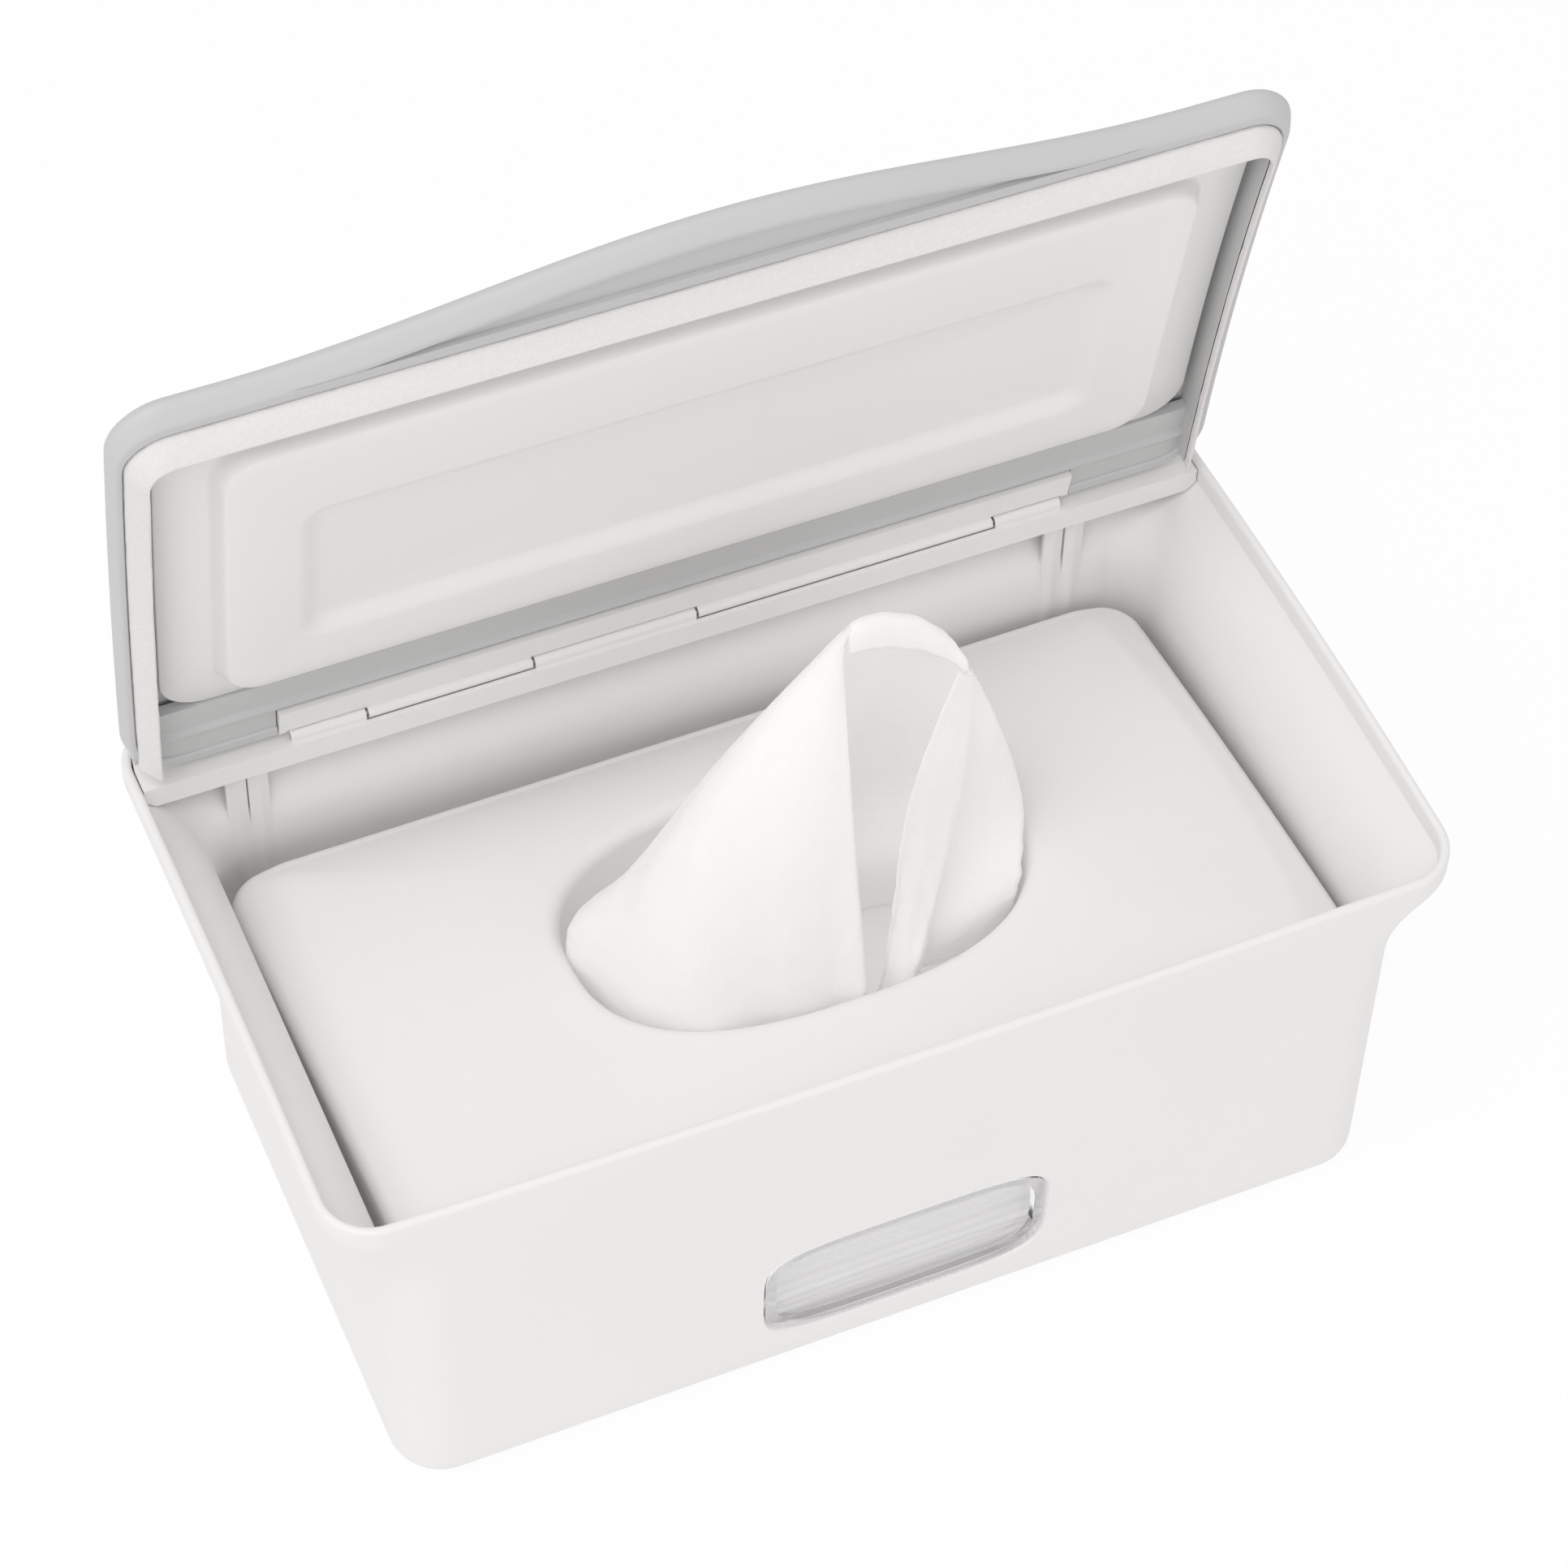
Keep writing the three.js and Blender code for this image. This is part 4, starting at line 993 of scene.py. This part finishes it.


# The pulled wipe. Each fold is sighted in the photograph, from the oval's lip up to the folded top,
# with its height or its depth along Y in millimetres. The folds go from the free edge of the front flap
# round the left side, along the back, round the right side and forward to the free edge of the tail.
FRAME_PIXELS = 1932
Sight = namedtuple("Sight", "across down depth height", defaults=(None, None))
WIPE_FOLDS = {
    "flap_free_edge": [Sight(1066, 1216, height=75), Sight(1056, 1070, depth=-19), Sight(1046, 935, depth=-9),
                       Sight(1038, 812, depth=3)],
    "flap_middle": [Sight(960, 1242, height=75), Sight(962, 1070, depth=-17), Sight(1002, 900, depth=-5),
                    Sight(1041, 792, depth=5)],
    "flap_outer": [Sight(832, 1256, height=76), Sight(850, 1060, depth=-9), Sight(945, 890, depth=1),
                   Sight(1048, 774, depth=6.5)],
    "left_fold": [Sight(704, 1158, height=78), Sight(776, 1076, depth=3), Sight(893, 930, depth=5),
                  Sight(1040, 776, depth=7.5)],
    "left_back": [Sight(764, 1104, height=78), Sight(826, 1040, depth=9), Sight(925, 905, depth=9),
                  Sight(1060, 762, depth=8.5)],
    "back_left": [Sight(935, 1082, height=74), Sight(962, 1000, depth=13), Sight(1022, 870, depth=12),
                  Sight(1098, 755, depth=9.5)],
    "back_middle": [Sight(1065, 1060, height=73), Sight(1090, 970, depth=13), Sight(1112, 860, depth=12),
                    Sight(1140, 764, depth=9)],
    "back_right": [Sight(1180, 1050, height=73), Sight(1186, 955, depth=9), Sight(1182, 855, depth=8),
                   Sight(1166, 784, depth=7.5)],
    "right_fold": [Sight(1252, 1092, height=74), Sight(1257, 985, depth=-1), Sight(1228, 890, depth=1),
                   Sight(1190, 814, depth=4)],
    "behind_tail": [Sight(1150, 1150, height=72), Sight(1166, 1010, depth=-4), Sight(1182, 912, depth=0),
                    Sight(1193, 824, depth=3)],
    "tail_crease": [Sight(1127, 1196, height=72), Sight(1172, 1026, depth=-11), Sight(1189, 932, depth=-6),
                    Sight(1196, 832, depth=0)],
    "tail_free_edge": [Sight(1090, 1192, height=72), Sight(1114, 1020, depth=-13), Sight(1142, 927, depth=-8),
                       Sight(1184, 826, depth=-2)],
}
# The gathered foot is drawn in from the lip by these shares
GATHER_X = 0.93
GATHER_Y = 0.88
WIPE_AROUND = 140
WIPE_UP = 70
WIPE_THICK = 0.4
WIPE_FOOT = 57.4 * MM
TOP_FOLD = [(0, 0, 0), (0.1, -1.6, 0.9), (0.2, -3.2, 0.2), (0.1, -4, -2.6), (0, -4.4, -6.2)]


def through(points, t):
    """A smooth curve through the points at share t"""
    last = len(points) - 1
    place = clamp01(t) * last
    k = min(int(place), last - 1)
    f = place - k
    p = [Vector(points[min(max(k + n, 0), last)]) for n in (-1, 0, 1, 2)]
    return 0.5 * (2 * p[1] + (p[2] - p[0]) * f + (2 * p[0] - 5 * p[1] + 4 * p[2] - p[3]) * f ** 2
                  + (3 * p[1] - p[0] - 3 * p[2] + p[3]) * f ** 3)


def sighted(sight):
    """The point in millimetres that the camera sees at a place in its frame, at the sight's depth or height"""
    stage = bpy.context.scene.dispenser_stage
    right, up, back = camera_axes(stage)
    reach = stage.lens / SENSOR_WIDTH * FRAME_PIXELS
    centre = FRAME_PIXELS / 2
    ray = right * ((sight.across - centre) / reach) - up * ((sight.down - centre) / reach) - back
    start = stage.place / MM
    axis, level = (1, sight.depth) if sight.height is None else (2, sight.height)
    point = start + ray * ((level - start[axis]) / ray[axis])
    return [round(value, 1) for value in point]


def wipe_columns():
    """Each fold's points in millimetres, from the gathered foot up to the folded top"""
    columns = []
    for sights in WIPE_FOLDS.values():
        points = [sighted(sight) for sight in sights]
        x, y, _ = points[0]
        columns.append([(round(x * GATHER_X, 1), round(y * GATHER_Y, 1), WIPE_FOOT / MM)] + points)
    return columns


def wipe_point(columns, s, t):
    """A point on the wipe, with its pleats: s goes round it and t goes up, both from 0 to 1"""
    point = through([through(column, t) for column in columns], s)
    pleat = noise.noise(Vector((s * 26, t * 1.6, 3.1))) * (2.2 * (1 - t) ** 1.6 + 0.35)
    crumple = noise.noise(Vector((s * 60, t * 34, 8.7))) * (0.9 * (1 - t) ** 2 + 0.12)
    outward = Vector((point.x - 6 - 8 * t, point.y, 0))
    if outward.length > 0:
        outward.normalize()
    edge = max(clamp01(1 - s * 40), clamp01(1 - (1 - s) * 40))
    frayed = noise.noise(Vector((s * 9, t * 70, 1.9))) * 0.5 * edge
    return point + outward * (pleat + crumple) + Vector((frayed, 0, 0))


class DISPENSER_OT_wipe(bpy.types.Operator):
    """Builds the wipe that is pulled up through the oval"""
    bl_idname = "dispenser.wipe"
    bl_label = "Pulled wipe"

    def execute(self, context):
        mesh = bmesh.new()
        layer = mesh.loops.layers.uv.new("cloth")
        columns = wipe_columns()
        grid = [[wipe_point(columns, s / WIPE_AROUND, t / WIPE_UP) for s in range(WIPE_AROUND + 1)]
                for t in range(WIPE_UP + 1)]
        self.add_grid(mesh, layer, grid)
        crest = grid[-1][WIPE_AROUND // 5:3 * WIPE_AROUND // 4]
        depth = [math.sin(math.pi * k / (len(crest) - 1)) ** 0.5 for k in range(len(crest))]
        fold = [[point + share * through(TOP_FOLD, k / 10) for point, share in zip(crest, depth)]
                for k in range(11)]
        self.add_grid(mesh, layer, fold)
        area = sum(face.calc_area() for face in mesh.faces)
        wipe = add_object("pulled_sheet", mesh)
        skin = wipe.modifiers.new("thickness", "SOLIDIFY")
        skin.thickness = WIPE_THICK * MM
        skin.offset = 0
        keep_result(wipe, skin)
        wipe.data.shade_smooth()
        finish_piece(wipe, "base", "wipe_cloth", "pulled_wipe", look="single_layer")
        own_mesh(wipe)
        return {"FINISHED"}

    def add_grid(self, mesh, layer, grid):
        """Faces over a grid of points in millimetres, with a map that follows the cloth"""
        rows = [[mesh.verts.new(point * MM) for point in row] for row in grid]
        down = [0.0]
        for low, high in zip(grid, grid[1:]):
            down.append(down[-1] + (high[len(high) // 2] - low[len(low) // 2]).length * MM)
        middle = grid[len(grid) // 2]
        along = [0.0]
        for a, b in zip(middle, middle[1:]):
            along.append(along[-1] + (b - a).length * MM)
        for t in range(len(grid) - 1):
            for s in range(len(grid[0]) - 1):
                face = mesh.faces.new((rows[t][s], rows[t][s + 1], rows[t + 1][s + 1], rows[t + 1][s]))
                places = [(along[s], down[t]), (along[s + 1], down[t]), (along[s + 1], down[t + 1]),
                          (along[s], down[t + 1])]
                for loop, place in zip(face.loops, places):
                    loop[layer].uv = place


class DISPENSER_OT_stage(bpy.types.Operator):
    """Builds the floor, the lamps, the sky and the camera"""
    bl_idname = "dispenser.stage"
    bl_label = "Stage"

    def execute(self, context):
        stage = context.scene.dispenser_stage
        context.scene.view_settings.view_transform = "Standard"
        self.add_floor()
        self.add_lamp("key_lamp", stage.key_power, 1.4, Vector((-0.8, -0.45, 1.7)))
        self.add_lamp("fill_lamp", stage.fill_power, 1.2, Vector((0.5, -1.6, 0.6)))
        self.add_sky(stage.sky)
        self.add_camera(stage)
        return {"FINISHED"}

    def add_floor(self):
        mesh = bmesh.new()
        bmesh.ops.create_grid(mesh, x_segments=8, y_segments=8, size=6)
        floor = add_object("studio_floor", mesh)
        floor.location.z = -0.1 * MM
        floor.data.materials.append(studio_floor("seamless paper", bpy.context.scene.dispenser_colours.floor))

    def add_lamp(self, name, power, size, place):
        lamp = bpy.data.lights.new(name, "AREA")
        lamp.energy = power
        lamp.shape = "DISK"
        lamp.size = size
        made = bpy.data.objects.new(name, lamp)
        made.location = place
        made.rotation_euler = (-place).to_track_quat("-Z", "Y").to_euler()
        bpy.context.scene.collection.objects.link(made)

    def add_sky(self, strength):
        world = bpy.data.worlds.new("studio sky")
        world.use_nodes = True
        tree = world.node_tree
        tree.nodes.clear()
        ray = add_node(tree, "ShaderNodeLightPath")
        seen = add_node(tree, "ShaderNodeMath", {"operation": "MAXIMUM"}, i0=ray.outputs["Is Camera Ray"],
                        i1=ray.outputs["Is Transmission Ray"])
        even = add_node(tree, "ShaderNodeBackground", Color=(1, 0.99, 0.985, 1), Strength=strength)
        white = add_node(tree, "ShaderNodeBackground", Color=(1, 1, 1, 1), Strength=1.0)
        mixed = add_node(tree, "ShaderNodeMixShader", i0=seen.outputs["Value"], i1=even.outputs["Background"],
                         i2=white.outputs["Background"])
        add_node(tree, "ShaderNodeOutputWorld", Surface=mixed.outputs["Shader"])
        bpy.context.scene.world = world

    def add_camera(self, stage):
        lens = bpy.data.cameras.new("camera")
        lens.sensor_width = SENSOR_WIDTH
        lens.sensor_fit = "HORIZONTAL"
        lens.lens = stage.lens
        turn = Matrix(camera_axes(stage)).transposed().to_4x4()
        camera = bpy.data.objects.new("camera", lens)
        camera.matrix_world = Matrix.Translation(stage.place) @ turn
        bpy.context.scene.collection.objects.link(camera)
        bpy.context.scene.camera = camera


class DISPENSER_PT_panel(bpy.types.Panel):
    """Lists the steps in the 3D view's sidebar"""
    bl_idname = "DISPENSER_PT_panel"
    bl_label = "Wipes dispenser"
    bl_space_type = "VIEW_3D"
    bl_region_type = "UI"
    bl_category = "Dispenser"

    def draw(self, context):
        for operator in STEPS:
            self.layout.operator(operator.bl_idname)


SETTINGS = {"dispenser_tub": TubSettings, "dispenser_lid": LidSettings, "dispenser_plate": PlateSettings,
            "dispenser_colours": ColourSettings, "dispenser_stage": StageSettings}
STEPS = [DISPENSER_OT_stage, DISPENSER_OT_tub, DISPENSER_OT_window, DISPENSER_OT_lid, DISPENSER_OT_seal,
         DISPENSER_OT_panel, DISPENSER_OT_hinge, DISPENSER_OT_plate, DISPENSER_OT_stack, DISPENSER_OT_wipe]
CLASSES = [*SETTINGS.values(), *STEPS, DISPENSER_PT_panel]


def register():
    for item in CLASSES:
        bpy.utils.register_class(item)
    for name, group in SETTINGS.items():
        setattr(bpy.types.Scene, name, bpy.props.PointerProperty(type=group))


def unregister():
    for name in SETTINGS:
        delattr(bpy.types.Scene, name)
    for item in reversed(CLASSES):
        bpy.utils.unregister_class(item)


def main():
    register()
    for step in STEPS:
        group, name = step.bl_idname.split(".")
        result = getattr(getattr(bpy.ops, group), name)()
        if "FINISHED" not in result:
            raise RuntimeError(f"{step.bl_label} didn't finish")


if __name__ == "__main__":
    main()
